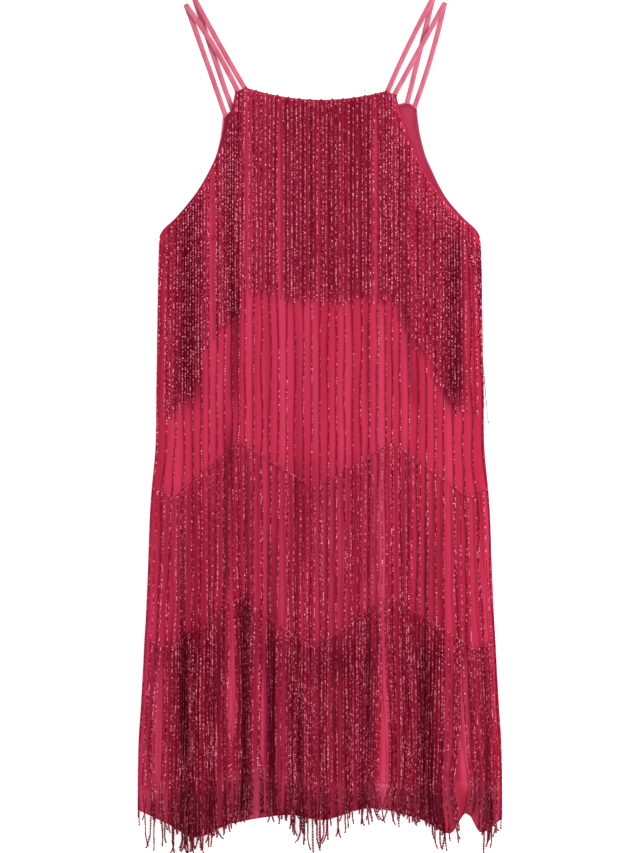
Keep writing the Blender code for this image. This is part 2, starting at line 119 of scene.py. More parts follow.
# Folds that lift the front and push the strands apart.
# Columns: crest's place at the hem, half width, rise, height where it starts, where it is full, gap,
# height where the gap has shut again, how far the gap bows to the right.
FOLDS = (
    (-194, 9, 1.2, -90, -332, 5.4, -460, 0),
    (-141, 9, 0.8, -90, -212, 1.8, -400, 0),
    (-106, 11, 2.6, 90, -332, 5.0, -388, 1.2),
    (-69, 10, 2.0, -150, -332, 2.9, -430, 0.5),
    (-20, 9, 0.8, -150, -212, 1.6, -330, 0),
    (12, 9, 1.0, -332, -390, 1.6, -440, 0),
    (32, 9, 0.8, -150, -212, 1.6, -350, 0),
    (76, 12, 2.8, 90, -400, 7.2, -472, 4),
    (173, 13, 2.6, -285, -425, 8.5, -486, -3),
    (197, 9, 1.0, -90, -390, 2.4, -460, 0),
)
# How far beside a fold its gap still pushes strands, over what height it shuts, and how suddenly it opens.
GAP_SPREAD = 2.2
GAP_SHUTS = 48 * MM
GAP_GROWTH = 3
BOW_TOP = -210 * MM
# How far beside an open fold strands stop straying, and how much of their straying goes.
CALM_SPREAD = 1.8
CALMED = 0.9

# Soft folds too low for the solids. Their shade is painted shade and painted light: it darkens the cloth,
# and the strands over it, in a fold's trough, and lightens the cloth on a crest or parting where light
# falls. The two tables of shade after it have the same columns.
# Columns: place at its top, height there, place at its foot, height there, half width, rise, shade.
RISE_COLUMN = 5
SHADE_COLUMN = 6
CREASES = (
    (-100, 170, -106, 0, 10, -0.7, 0.7),
    (-108, 20, -113, -220, 8, -0.6, 0.7),
    (-116, -200, -128, -400, 9, -0.4, 0.3),
    (55, 160, 58, -20, 3.5, -0.5, 0.5),
    (58, -10, 60, -420, 6, -0.4, 0.4),
    (101, 160, 114, 0, 9, -0.7, 0.55),
    (104, -10, 98, -230, 7, -0.5, 0.4),
    (-66, 150, -62, -60, 5, -0.3, 0.3),
    (-87, -20, -86, -260, 7, -0.5, 0.6),
    (-165, -110, -163, -430, 8, -0.6, 0.5),
    (-60, -110, -58, -430, 8, -0.4, 0.5),
    (128, -110, 124, -430, 8, -0.4, 0.4),
    (-26, 140, -27, -430, 7, -0.3, 0.3),
    (34, 150, 31, -30, 6, 0.3, -0.3),
    (-8, 140, -3, -60, 9, 0.4, -0.3),
    (-107, -240, -106, -400, 6, 0, -1.2),
    (-70, -265, -70, -440, 5, 0, -1.2),
    (72, -60, 80, -400, 8, 0, -0.65),
    (80, -340, 76, -470, 8, 0, -0.55),
    (172, -270, 173, -455, 9, 0, -1.2),
    (-20, -150, -20, -300, 6, 0, -0.5),
    (-194, -270, -196, -460, 7, 0, -1.2),
    (74, 150, 72, -230, 7, 0.5, -0.7),
    (-122, 90, -124, -20, 7, 0.5, -0.5),
    (-40, 140, -44, -30, 8, 0.3, -0.25),
    (150, -20, 156, -300, 10, 0.3, -0.2),
    (-140, -40, -145, -200, 8, 0.3, -0.2),
)
CREASE_FADE = 45 * MM
# How much painted shade strands get past the lining's hem, from where to where, and how much painted
# light bare cloth gets.
HEM_SHADE = 0.72
HEM_SHADE_STARTS = 5 * MM
HEM_SHADE_FULL = 20 * MM
BARE_LIGHTER = 0.3
BARE_STARTS = 2 * MM
BARE_FULL = 4 * MM

# Painted shade where strands lie so close that little light gets in between them: on them, and on cloth
# under them.
BUNCH_SHADE = (
    (-160, -240, -158, -520, 12, 0, 0.75),
    (-90, -190, -88, -500, 9, 0, 1.0),
    (-58, -240, -57, -500, 8, 0, 0.6),
    (-24, -300, -24, -500, 10, 0, 0.45),
    (58, -250, 56, -500, 8, 0, 0.45),
    (127, -260, 130, -500, 14, 0, 0.6),
    (199, -260, 200, -500, 9, 0, 0.5),
    (-105, 340, -106, 118, 12, 0, 0.15),
    (-156, 260, -158, 10, 22, 0, 0.2),
    (98, 330, 102, 100, 12, 0, 0.15),
    (159, 240, 159, 5, 14, 0, 0.2),
)
# Painted shade on the cloth alone, under dense strands; rows below 0 are painted light, on bright gaps in
# the bib and on sheer patches below the lining's hem.
UNDER_SHADE = (
    (-154, 300, -158, 0, 30, 0, 0.85),
    (-108, 390, -106, 108, 17, 0, 0.6),
    (98, 370, 102, 108, 15, 0, 0.5),
    (134, 280, 134, 70, 9, 0, 0.5),
    (160, 260, 161, 0, 24, 0, 0.85),
    (-74, -400, -73, -560, 16, 0, -0.9),
    (76, -400, 76, -560, 13, 0, -0.9),
    (174, -405, 174, -560, 11, 0, 0.7),
    (-88.2, 420, -88.2, 130, 4.5, 0, -0.6),
    (-49, 430, -49, 130, 4.5, 0, -1.0),
    (0, 430, 0, 130, 4, 0, -0.8),
    (29.4, 430, 29.4, 130, 4, 0, -0.4),
    (68.6, 430, 68.6, 130, 4.5, 0, -0.9),
    (-127.4, 330, -127.4, 60, 5, 0, -0.5),
    (-30, 420, -30, 130, 75, 0, 0.5),
    (40, 420, 40, 130, 65, 0, 0.5),
    (0, 420, 0, 130, 110, 0, 0.1),
    (-150, -60, -150, -320, 60, 0, 0.3),
    (0, -20, 0, -320, 120, 0, 0.3),
    (140, -60, 140, -320, 50, 0, 0.2),
    (-150, -240, -150, -560, 70, 0, 0.55),
    (-50, -240, -50, -560, 40, 0, 0.45),
    (20, -240, 20, -560, 65, 0, 0.6),
    (125, -240, 125, -560, 60, 0, 0.55),
)

# Where strands gather into a bunch. Columns: place at the hem, height where it starts, full, spread, pull.
BUNCHES = (
    (-158, -230, -330, 12, 4.5),
    (-88, -200, -330, 11, 4.5),
    (-57, -250, -350, 8, 2.6),
    (-30, -280, -380, 10, 3.0),
    (58, -260, -380, 11, 3.5),
    (127, -250, -380, 12, 4.0),
    (199, -300, -400, 9, 2.5),
)
BUNCH_GAIN = 1.6

# Gaps between the bib's strands, where bright cloth shows. Columns: place across, gap.
BIB_GAPS = (
    (-127.4, 2.2), (-88.2, 2.5), (-68.6, 1.3), (-49, 2.7), (-29.4, 1.2), (0, 1.9), (9.8, 1.7),
    (29.4, 1.2), (49, 1.5), (68.6, 2.5), (88.2, 1.5),
)
# Long strands in the gaps are moved in full down to GAP_WHOLE above the bib's tips, and no more from
# GAP_FOOT below them.
GAP_FOOT = 30 * MM
GAP_WHOLE = 20 * MM

# Strands at the side seams. Columns: side, how far in from the seam it starts, height of its foot, how
# far it stands off the seam there.
SIDE_STRANDS = (
    (-1, 0, -480, 0),
    (1, 0, -484, 0),
    (1, 3, 2, 6.5),
    (1, 0, 20, 0.6),
    (1, 6, 60, -1.6),
    (1, 11, 104, -4),
    (1, 15, 128, -8),
    (-1, 0, 60, 0.6),
    (-1, 7, 110, -3.5),
)
FAN_FOOT = 120 * MM
FAN_DROP = 0.5
SIDE_WAVES = (110, 170)
SIDE_INSET = 1.4 * MM
SIDE_SWAY = 0.9 * MM
STAND_OFF_TOP = 145 * MM

# Where strands crowd, or thin out, and the fewest that hang anywhere, as a share of the usual number.
# Columns: place across, how wide, how many more.
FEWEST = 0.15
BIB_CROWDS = (
    (-189, 8, -0.8),
    (-156, 15, 1.1),
    (-127, 8, -0.9),
    (-106, 9, 0.9),
    (98, 9, 0.7),
    (118, 6, -0.5),
    (135, 7, 0.3),
    (159, 10, 1.1),
    (184, 10, -0.8),
)
UPPER_CROWDS = (
    (-166, 8, 0.8),
    (-118, 6, 0.7),
    (74, 6, -0.4),
    (-70, 8, -0.5),
    (150, 8, -0.3),
)
LOWER_CROWDS = (
    (-158, 16, 1.2),
    (-205, 12, -0.4),
    (-107, 6, -0.35),
    (-88, 8, 1.0),
    (-67, 7, -0.5),
    (-38, 20, 0.4),
    (57, 9, 0.5),
    (76, 6, -0.35),
    (127, 18, 0.5),
    (171, 9, -0.5),
    (194, 9, 1.2),
)

# Beads and thread. A bead is 1.9 mm across and 2.3 mm long, of four sides, and its radius is made fuller
# by as much as their flats lose. Long strands have a thicker thread, with fewer beads on it.
BEAD_RADIUS = 0.95 * MM
BEAD_LENGTH = 2.3 * MM
BEAD_FULLNESS = 1.12
BEAD_SIZES = (0.9, 1.06)
BEAD_REACH = 1.25 * BEAD_RADIUS
BEAD_PITCH = 2.6 * MM
LONG_BEAD_PITCH = 3.3 * MM
THREAD_RADIUS = 0.22 * MM
LONG_THREAD = 2
THREAD_STEP = 12 * MM
# How far the tone of a strand's palest beads goes, in each trim; the tone also sets how pale the glass is
# and how bright its painted highlights are.
PALEST = {
    "long_strands": 0.8,
    "bib_fringe": 1.25,
    "upper_chevron_fringe": 1.0,
    "lower_chevron_fringe": 0.8,
}
# How much thicker a loop looks where it is twisted on itself, and how far below the lining's hem it is so.
TWIST_SWELL = 0.35
TWIST_RUN = 55 * MM

# How strands hang from their trims: in levels over each other, a pitch apart.
LEVEL_STEP = 1.9 * MM
STRIP_WIDTH = 3.0 * MM
STRIP_INSET = 1.0 * MM
TRIM_HALF = 190 * MM
LONG_PITCH = 9.8 * MM
BIB_PITCH = 5.2 * MM
BIB_STEP_ACROSS = 4.2 * MM
UPPER_PITCH = 8.6 * MM
UPPER_STEP = 5 * MM
UPPER_HALF = 199 * MM
LOWER_PITCH = 4.7 * MM
LOWER_STEP = 3.2 * MM
LOWER_HALF = 206 * MM

# How a strand strays on its way down: its waves' lengths, and its reach, as a share of WANDER.
SEED = 7
PATH_STEP = 7 * MM
WANDER = 0.5 * MM
WANDER_REACH = (0.5, 1.4)
WANDER_WAVES = (50, 200)
WANDER_GROWTH = 120 * MM
BIB_CALM = 0.45

# Tips: how unevenly they end, how many end at the hem itself, and how they gather in tufts and curl.
TIP_SPREAD = (-5, 5)
BIB_TIP_SPREAD = (-7, 5)
AT_HEM_SPREAD = (-3, 9)
AT_HEM_SHARE = 0.5
AT_HEM = 4 * MM
TUFT_SPACING = (8, 17)
TUFT_START = 75 * MM
TUFT_PULL = 0.3
TIP_SLANT = 0.1
TIP_BEND = 0.045
CURL_NEAR_HEM = 12 * MM
CURL_STARTS = 12 * MM
CURL_LENGTH = 15 * MM
CURL_LENGTHS = (0.7, 1.15)
CURL_STEP = 2.0 * MM
CURL_FIRST = 0.4
CURL_GROWTH = 1.6

# How strands sway together in groups. Columns: length of a wave across, reach, phase.
GATHERS = ((23, 0.9, 0.4), (34, 1.3, 2.1), (61, 1.2, 5.0))
GATHER_TOP = -60 * MM
GATHER_FULL = -260 * MM

# Straps, as in the part's source, with finer sections.
STRAP_WIDTH = 6.2 * MM
STRAP_THICKNESS = 1.8 * MM
BACK_LEG_LEVEL = 1.1 * MM
FRONT_LEG_LEVEL = 3.9 * MM
STRAP_TUCK = 6 * MM
STRAP_SEWN = 0.5 * MM
STRAP_SEWN_RINGS = 3
STRAP_SIDES = 14
FOLD_STEPS = 14
LEG_STEPS = 24
# Columns: side, back end x, back leg's bow, fold x, y, front end x, front leg's bow.
STRAPS = (
    ("left_outer", -113.5, 0.5, -160.3, 501.6, -98.0, 3.0),
    ("left_inner", -105.0, -0.5, -150.6, 510.4, -88.8, -0.8),
    ("right_inner", 105.0, 0.0, 135.6, 510.4, 80.6, -1.5),
    ("right_outer", 113.5, 2.4, 149.3, 503.6, 90.0, 0.0),
)

# Sewing. A pitch of 400 mm leaves a cord bare but for a few beads that it hides.
# Columns: pitch, radius and length of the beads, knots or stitches, how far their tone goes, the cord's
# radius, its sides.
SEWING = {
    "front_binding": (400, 0.5, 1, 1.0, 0.9, 8),
    "back_binding": (400, 0.5, 1, 1.0, 0.9, 8),
    "neckline_knots": (12.5, 1.5, 2.6, 0.4, 0.22, 3),
    "chevron_trims": (1.7, 0.6, 1.4, 1.0, 0.32, 5),
    "side_seams": (400, 0.5, 1, 1.0, 0.9, 6),
    "rolled_hem": (400, 0.5, 1, 1.0, 0.4, 6),
    "stitches": (3.2, 0.28, 2.2, 0.5, 0.1, 3),
}
SEWN_STEP = 4 * MM
BINDING_END = 8 * MM
FRONT_BINDING_INSET = 0.4 * MM
FRONT_BINDING_LEVEL = 4.15 * MM
BACK_BINDING_INSET = 0.6 * MM
BACK_BINDING_LEVEL = 2.3 * MM
TOPSTITCH_END = 12 * MM
TOPSTITCH_INSET = 4 * MM
KNOT_RISE = 0.8 * MM
KNOT_LEVEL = 4.3 * MM
SEAM_TOP = 6 * MM
SEAM_STEP = 8 * MM
SEAM_INSET = 0.9 * MM
SEAM_LEVEL = 1.35 * MM
HEM_REACH = 8 * MM
LINING_STITCHES = (9 * MM, 11.5 * MM)
STITCH_LIFT = 0.1 * MM

# Studio. The photo's origin row and height are in its pixels, and the camera looks straight down.
FLOOR_HALF = 40.0
FLOOR_DROP = 0.3 * MM
SKY_STRENGTH = 0.82
KEY_PLACE = (2.9, 1.0, 2.6)
KEY_POWER = 130
KEY_SIZE = 0.9
EYE_HEIGHT = 3.0
SENSOR = 36
PIXEL = 1.2 * MM
PHOTO_HEIGHT = 853
ORIGIN_ROW = 424

# Kinds of nodes that are used often, and the surface of cloth that is rolled up tight.
RANGE = "ShaderNodeMapRange"
MIX = "ShaderNodeMix"
MATH = "ShaderNodeMath"
BUMP = "ShaderNodeBump"
RANDOM = "FunctionNodeRandomValue"
STORE = "GeometryNodeStoreNamedAttribute"
RESAMPLE = "GeometryNodeResampleCurve"
COAT = "GeometryNodeSetMaterial"
ROLLED = {"Roughness": 0.7, "Specular_IOR_Level": 0.1}


def through(rows):
    """A smooth line through rows of place and value, in millimetres, that never overshoots them."""
    rows = sorted((place * MM, value * MM) for place, value in rows)
    at = [row[0] for row in rows]
    value = [row[1] for row in rows]
    rise = [(value[i + 1] - value[i]) / (at[i + 1] - at[i]) for i in range(len(at) - 1)]
    inner = [0.0 if a * b <= 0 else 2 * a * b / (a + b) for a, b in zip(rise, rise[1:])]
    slope = [rise[0], *inner, rise[-1]]

    def read(place):
        place = min(max(place, at[0]), at[-1])
        i = min(max(bisect.bisect_right(at, place) - 1, 0), len(at) - 2)
        step = at[i + 1] - at[i]
        t = (place - at[i]) / step
        start = (2 * t**3 - 3 * t**2 + 1) * value[i] + (t**3 - 2 * t**2 + t) * step * slope[i]
        end = (3 * t**2 - 2 * t**3) * value[i + 1] + (t**3 - t**2) * step * slope[i + 1]
        return start + end

    return read


def straight(rows):
    """A line of straight stretches through rows of place and value, in millimetres."""
    at = [place * MM for place, _ in rows]
    value = [height * MM for _, height in rows]

    def read(place):
        i = min(max(bisect.bisect_right(at, place) - 1, 0), len(at) - 2)
        t = min(max((place - at[i]) / (at[i + 1] - at[i]), 0.0), 1.0)
        return value[i] + (value[i + 1] - value[i]) * t

    return read


def share(value, start, end):
    """How far value has gone from start to end, held between 0 and 1."""
    return min(max((value - start) / (end - start), 0.0), 1.0)


def eased(t):
    return t * t * (3 - 2 * t)


front_half = through(FRONT_ARMHOLE + SIDE_SEAM)
back_half = through(BACK_ARMHOLE + SIDE_SEAM)
shell_hem = through(SHELL_HEM)
lining_hem = through(LINING_HEM)
hem_tips = straight(HEM_TIPS)
bib_tips = straight(BIB_TIPS)
upper_chevron = straight(UPPER_CHEVRON)
lower_chevron = straight(LOWER_CHEVRON)
HEM_HALF = front_half(HEM_MEAN) - SIDE_FALL


def neck_height(x, half, low, scoop, corner, corner_half):
    """The top edge: a shallow scoop between the straps, then a slope down to the corner."""
    if abs(x) <= half:
        return low + scoop * (x / half) ** 2
    return low + scoop + (corner - low - scoop) * share(abs(x), half, corner_half)


def front_neck(x):
    corner_half = front_half(FRONT_CORNER)
    return neck_height(x, FRONT_NECK_HALF, FRONT_NECK_LOW, FRONT_SCOOP, FRONT_CORNER, corner_half)


def back_neck(x):
    corner_half = back_half(BACK_CORNER)
    return neck_height(x, BACK_NECK_HALF, BACK_NECK_LOW, BACK_SCOOP, BACK_CORNER, corner_half)


def lay_front(x, y):
    """Where a point of the front's pattern lies once the bodice has leaned and turned."""
    part = share(y, UNDERARM, FRONT_CORNER)
    return x + FRONT_LEAN * part, y + FRONT_TILT * x * part


def lay_back(x, y):
    return x, y + BACK_TILT * x * share(y, UNDERARM, BACK_CORNER)


def fanned(hem_x, edge):
    """Where a line down the cloth, hem_x across at the hem, runs where the sides are edge across."""
    if abs(hem_x) <= UPRIGHT:
        return hem_x
    part = (abs(hem_x) - UPRIGHT) / (HEM_HALF - UPRIGHT)
    return math.copysign(UPRIGHT + (edge - UPRIGHT) * part, hem_x)


def unfanned(x, edge):
    """The place at the hem of the line down the cloth that passes x where the sides are edge across."""
    if abs(x) <= UPRIGHT:
        return x
    part = (abs(x) - UPRIGHT) / (edge - UPRIGHT)
    return math.copysign(UPRIGHT + (HEM_HALF - UPRIGHT) * part, x)


def skirt_edge(y):
    """How far across the side falls begin at a height, from the underarm down."""
    return front_half(min(y, UNDERARM)) - SIDE_FALL


def past_lining(x):
    """Where the shell starts to come down below the lining's hem."""
    return lining_hem(x) - LINING_CLEAR


def down_at_hem(x):
    """Where the shell has come down to the back."""
    return past_lining(x) - HEM_FALL


def fold_rise(x, y):
    """How far the front's folds lift the cloth, as rounded ridges over those of the solid."""
    hem_x = unfanned(x, skirt_edge(y))
    total = 0.0
    for crest, half_width, rise, start, full, *_ in FOLDS:
        off = abs(hem_x - crest * MM) / (half_width * MM)
        if off < 1:
            ridge = 0.5 + 0.5 * math.cos(math.pi * off)
            total += rise * MM * ridge * share(y, start * MM, full * MM)
    return total


def crease_rise(x, y):
    """How far the soft folds raise the cloth at a point."""
    return summed(CREASES, x, y, RISE_COLUMN) * MM


def summed(rows, x, y, column):
    """The sum of one column of rows that each run down the cloth, rounded across and faded at both ends."""
    total = 0.0
    for row in rows:
        top_x, top, foot_x, foot, half_width = (value * MM for value in row[:5])
        if not foot < y < top:
            continue
        middle = top_x + (foot_x - top_x) * share(y, top, foot)
        off = abs(x - middle) / half_width
        if off < 1:
            ends = eased(share(y, foot, foot + CREASE_FADE)) * eased(share(y, top, top - CREASE_FADE))
            total += row[column] * (0.5 + 0.5 * math.cos(math.pi * off)) * ends
    return total


def side_share(x, y):
    """0 over the lining, and 1 where a side seam draws the layers together."""
    beside = share(abs(x), front_half(y) - SIDE_FALL, front_half(y) - SEAM_LAP)
    return beside * share(y, UNDERARM + SIDE_FALL, UNDERARM - SIDE_FALL)


def shell_top(x, y):
    """The top of the front shell: over three layers, and down to one at side seams and hem."""
    below_lining = share(y, past_lining(x), down_at_hem(x))
    beside = side_share(x, y)
    layers = 3 - 2 * max(below_lining, beside)
    folds = fold_rise(x, y) * (1 - (1 - HEM_FOLD_SHARE) * below_lining)
    return layers * LAYER + folds + CLOTH + crease_rise(x, y) * (1 - beside)


def front_lining_top(x, y):
    over_lining = 2 * LAYER + CLOTH + min(0.0, crease_rise(x, y))
    return over_lining + (FRONT_LINING_SEAMED - over_lining) * side_share(x, y) + fold_rise(x, y)


def back_lining_top(x, y):
    return LAYER + CLOTH + (BACK_LINING_SEAMED - LAYER - CLOTH) * side_share(x, y)


def depth_of_shade(x, y):
    """How much painted shade a strand gets at a point, and the cloth but for what lies over it, from -1 to
    1;
    below 0 the cloth gets painted light.
    """
    shade = summed(CREASES, x, y, SHADE_COLUMN) + summed(BUNCH_SHADE, x, y, SHADE_COLUMN)
    return max(-1.0, min(1.0, shade))


def bareness(x, y):
    """Whether the shell's cloth has no lining under it at a point, from 0 to 1."""
    return share(y, lining_hem(x) + BARE_STARTS, lining_hem(x) - BARE_FULL)


def cloth_shade(x, y):
    """How much painted shade the cloth gets at a point, from -1 to 1; below 0 it gets painted light."""
    shade = depth_of_shade(x, y) + summed(UNDER_SHADE, x, y, SHADE_COLUMN)
    return max(-1.0, min(1.0, shade - BARE_LIGHTER * bareness(x, y)))


def strand_shade(x, y):
    """How much painted shade a strand gets at a point: more in bunches and below the lining, where no cloth
    lights it.
    """
    below = share(y, lining_hem(x) + HEM_SHADE_STARTS, lining_hem(x) - HEM_SHADE_FULL)
    return min(1.0, max(0.0, depth_of_shade(x, y)) + HEM_SHADE * below)


def row_across(columns, width, height, lining):
    """Places across a panel at a height, where the shell is width wide to each side."""
    edge = width - SIDE_FALL
    if height > SKIRT_TOP:
        inner = [place * edge for place in columns]
    else:
        inner = [fanned(place * HEM_HALF, edge) for place in columns]
    first = LINING_INSET if lining else 0.0
    sides = [width - first - (SIDE_FALL - first) * part for part in SIDE_COLUMNS]
    return [-side for side in sides] + inner + list(reversed(sides))


def spread_evenly(count):
    return [2 * i / (count - 1) - 1 for i in range(count)]


def stepped(start, end, step):
    """Heights from start down to end, about step apart."""
    count = max(1, round(abs(end - start) / step))
    return [start + (end - start) * i / count for i in range(count + 1)]


def panel_grid(columns, heights, stretches, half, neck, lay, lining=False):
    """Rows of laid (x, y) points of a panel: down the heights from its neckline, then on to its hem.

    stretches is a list of (line, rows): each runs on from the row before to line(x) in that many rows.
    """
    corner = heights[0]
    inset = LINING_INSET if lining else 0.0
    rows = []
    for height in heights:
        neck_part = 1 - share(corner - height, 0, NECK_FADE)
        across = row_across(columns, half(height), height, lining)
        rows.append([lay(x, height + (neck(x) - corner - inset) * neck_part) for x in across])
    across = row_across(columns, half(HEM_MEAN), HEM_MEAN, lining)
    for line, count in stretches:
        above = rows[-1]
        for i in range(1, count + 1):
            part = i / count
            row = []
            for (ax, ay), x in zip(above, across):
                px, py = lay(x, line(x))
                row.append((ax + (px - ax) * part, ay + (py - ay) * part))
            rows.append(row)
    return rows


def new_piece(name, mesh):
    """An object that holds the mesh, in the scene."""
    piece = bpy.data.objects.new(name, mesh)
    bpy.context.scene.collection.objects.link(piece)
    return piece


def cloth_panel(name, grid, top, finish):
    """A closed thin shell over a grid, top(x, y) high, with its painted shade and its bareness as
    attributes.
    """
    count = len(grid[0])
    points = [(x, y, top(x, y)) for row in grid for x, y in row]
    points += [(x, y, z - SHEER) for x, y, z in points]
    below = len(points) // 2
    faces, rims = [], []
    for j in range(len(grid) - 1):
        for i in range(count - 1):
            a, b = j * count + i, (j + 1) * count + i
            faces += [(a, b, b + 1, a + 1), (below + a, below + a + 1, below + b + 1, below + b)]
    head = list(range(count))
    right = [j * count + count - 1 for j in range(len(grid))]
    foot = [(len(grid) - 1) * count + i for i in reversed(range(count))]
    left = [j * count for j in reversed(range(len(grid)))]
    for edge in (head, right, foot, left):
        for a, b in zip(edge, edge[1:]):
            rims.append((a, b, below + b, below + a))
    mesh = bpy.data.meshes.new(name)
    mesh.from_pydata(points, [], faces + rims)
    for told, measure in (("shade", cloth_shade), ("bare", bareness)):
        values = mesh.attributes.new(told, "FLOAT", "POINT").data
        values.foreach_set("value", [measure(x, y) for x, y, _ in points])
    smooth = [True] * len(faces) + [False] * len(rims)
    mesh.polygons.foreach_set("use_smooth", smooth)
    mesh.materials.append(finish)
    mesh.update()
    return new_piece(name, mesh)


def linear(channel):
    if channel <= 0.04045:
        return channel / 12.92
    return ((channel + 0.055) / 1.055) ** 2.4


def hex_colour(text):
    """A linear colour from an sRGB hex text."""
    channels = [int(text[i : i + 2], 16) / 255 for i in (1, 3, 5)]
    return (*[linear(channel) for channel in channels], 1.0)


def feed(tree, node, inputs):
    """Sets a node's inputs: a socket is linked, and a hex text becomes a colour."""
    for key, value in dict(inputs).items():
        socket = node.inputs[key]
        if isinstance(value, bpy.types.NodeSocket):
            tree.links.new(value, socket)
        elif isinstance(value, str) and value.startswith("#"):
            socket.default_value = hex_colour(value)
        else:
            socket.default_value = value


def add_node(tree, kind, inputs=(), out=0, **settings):
    """One node with its settings and links. Returns its output, by number or name."""
    node = tree.nodes.new(kind)
    for name, value in settings.items():
        setattr(node, name, value)
    feed(tree, node, inputs)
    return node.outputs[out] if len(node.outputs) else None


def new_finish(name, **surface):
    """A material, its tree and its shader, with the sockets set that are the same all over."""
    finish = bpy.data.materials.new(name)
    finish.use_nodes = True
    shader = finish.node_tree.nodes["Principled BSDF"]
    feed(finish.node_tree, shader, {key.replace("_", " "): value for key, value in surface.items()})
    return finish, finish.node_tree, shader


def stretched_noise(tree, cycles, low, high, detail=2.0):
    """Noise on object coordinates, with its cycles a metre along each axis: 0 up to low and 1 from high."""
    place = add_node(tree, "ShaderNodeTexCoord", out="Object")
    scaled = add_node(tree, "ShaderNodeMapping", {"Vector": place, "Scale": cycles})
    inputs = {"Vector": scaled, "Scale": 1.0, "Detail": detail}
    noise = add_node(tree, "ShaderNodeTexNoise", inputs, out="Fac")
    return add_node(tree, RANGE, {0: noise, 1: low, 2: high})


def threads(tree, pitch, direction, distortion=0.0):
    """Parallel threads a pitch apart, 0 between them and 1 on their crests. A wave's scale of 1 makes 20
    of them in 2 pi."""
    place = add_node(tree, "ShaderNodeTexCoord", out="Object")
    inputs = {"Vector": place, "Scale": 2 * math.pi / (20 * pitch), "Distortion": distortion}
    return add_node(tree, "ShaderNodeTexWave", inputs, out="Fac", bands_direction=direction)


def told_by(tree, attribute):
    """What an attribute of the piece says."""
    return add_node(tree, "ShaderNodeAttribute", out="Fac", attribute_name=attribute)


def shaded_cloth(tree, bands, weak, strong, dark, pale):
    """A colour in bands from weak to strong, with painted shade towards dark where the cloth's shade is 1
    and painted light towards pale where it is -1.
    """
    shade = told_by(tree, "shade")
    colour = add_node(tree, MIX, {0: bands, 6: weak, 7: strong}, 2, data_type="RGBA")
    for end, tint in ((1, dark), (-1, pale)):
        part = add_node(tree, RANGE, {0: shade, 1: 0, 2: end})
        colour = add_node(tree, MIX, {0: part, 6: colour, 7: tint}, 2, data_type="RGBA")
    return colour


def chiffon():
    """Sheer silk chiffon in crimson: fine crepe threads, see-through. In its folds and under dense strands,
    where painted shade lies, it is darker and less see-through; on lit crests and partings, where painted
    light lies, it is paler and more so. Two layers of it hide the floor below the lining's hem. Its real
    threads are 0.2 mm apart; they are drawn 0.8 mm apart to show."""
    finish, tree, shader = new_finish(
        "sheer silk chiffon", Roughness=0.65, IOR=1.45, Specular_IOR_Level=0.05
    )
    bands = stretched_noise(tree, (55, 1.6, 8), 0.36, 0.64)
    colour = shaded_cloth(tree, bands, "#C02846", "#D83A5E", "#660A22", "#E04C72")
    lined = add_node(tree, RANGE, {0: told_by(tree, "shade"), 1: -1, 2: 1, 3: 0.34, 4: 0.95})
    unlined = add_node(tree, MATH, {0: told_by(tree, "bare"), 1: 0.7}, operation="MULTIPLY")
    cover = add_node(tree, MATH, {0: lined, 1: unlined}, operation="MAXIMUM")
    warp, weft = (threads(tree, 0.8 * MM, direction, 0.4) for direction in ("X", "Y"))
    woven = add_node(tree, MATH, {0: warp, 1: weft}, operation="MAXIMUM")
    relief = add_node(tree, BUMP, {"Height": woven, "Distance": 0.12 * MM, "Strength": 0.5})
    feed(tree, shader, {"Base Color": colour, "Alpha": cover, "Normal": relief})
    return finish


def lining_jersey(name, weak, strong):
    """Rose red viscose jersey: smooth, slightly shiny, in fine upright ribs of knit stitches. Its real
    ribs are 0.5 mm apart; they are drawn 1 mm apart to show."""
    finish, tree, shader = new_finish(name, Roughness=0.6, IOR=1.47, Specular_IOR_Level=0.08)
    bands = stretched_noise(tree, (34, 1.4, 6), 0.35, 0.65)
    # The shade attribute paints shade and light on the jersey, as on the chiffon.
    cloth = shaded_cloth(tree, bands, weak, strong, "#8A1636", "#E85A80")
    stitches = stretched_noise(tree, (900, 900, 900), 0.3, 0.7, 0.0)
    part = add_node(tree, MATH, {0: stitches, 1: 0.22}, operation="MULTIPLY")
    colour = add_node(tree, MIX, {0: part, 6: cloth, 7: "#9C2040"}, 2, data_type="RGBA")
    ribs = threads(tree, 1.0 * MM, "X")
    relief = add_node(tree, BUMP, {"Height": ribs, "Distance": 0.15 * MM, "Strength": 0.5})
    feed(tree, shader, {"Base Color": colour, "Normal": relief})
    return finish


def bias_cloth(name, cycles, weak, strong, relief, **surface):
    """Cloth cut on the bias, in soft bands of two tones, with slanting threads drawn 0.7 mm apart."""
    finish, tree, shader = new_finish(name, **surface)
    bands = stretched_noise(tree, cycles, 0.3, 0.7)
    colour = add_node(tree, MIX, {0: bands, 6: weak, 7: strong}, 2, data_type="RGBA")
    height, strength = relief
    slanting = threads(tree, 0.7 * MM, "DIAGONAL")
    raised = add_node(tree, BUMP, {"Height": slanting, "Distance": height, "Strength": strength})
    feed(tree, shader, {"Base Color": colour, "Normal": raised})
    return finish


def strap_satin():
    """Pink satin rouleau, cut on the bias: smooth and bright, with fine slanting threads."""
    sheen = {"Roughness": 0.5, "IOR": 1.4, "Specular_IOR_Level": 0.25}
    relief = (0.05 * MM, 0.4)
    return bias_cloth("satin rouleau", (160, 40, 160), "#B85268", "#CA6A80", relief, **sheen)


def piping_cloth():
    """Bias binding of crimson satin, rolled tight round the top edge."""
    relief = (0.06 * MM, 0.5)
    return bias_cloth("bias binding", (90, 90, 90), "#8A1230", "#A81C3E", relief, **ROLLED)


def trim_cloth():
    """Narrow rouleau of the same chiffon that covers the top of each zigzag trim, several layers thick,
    so that it is lighter and no longer see-through."""
    relief = (0.06 * MM, 0.5)
    return bias_cloth("rolled chiffon trim", (140, 140, 140), "#AC2444", "#C84064", relief, **ROLLED)


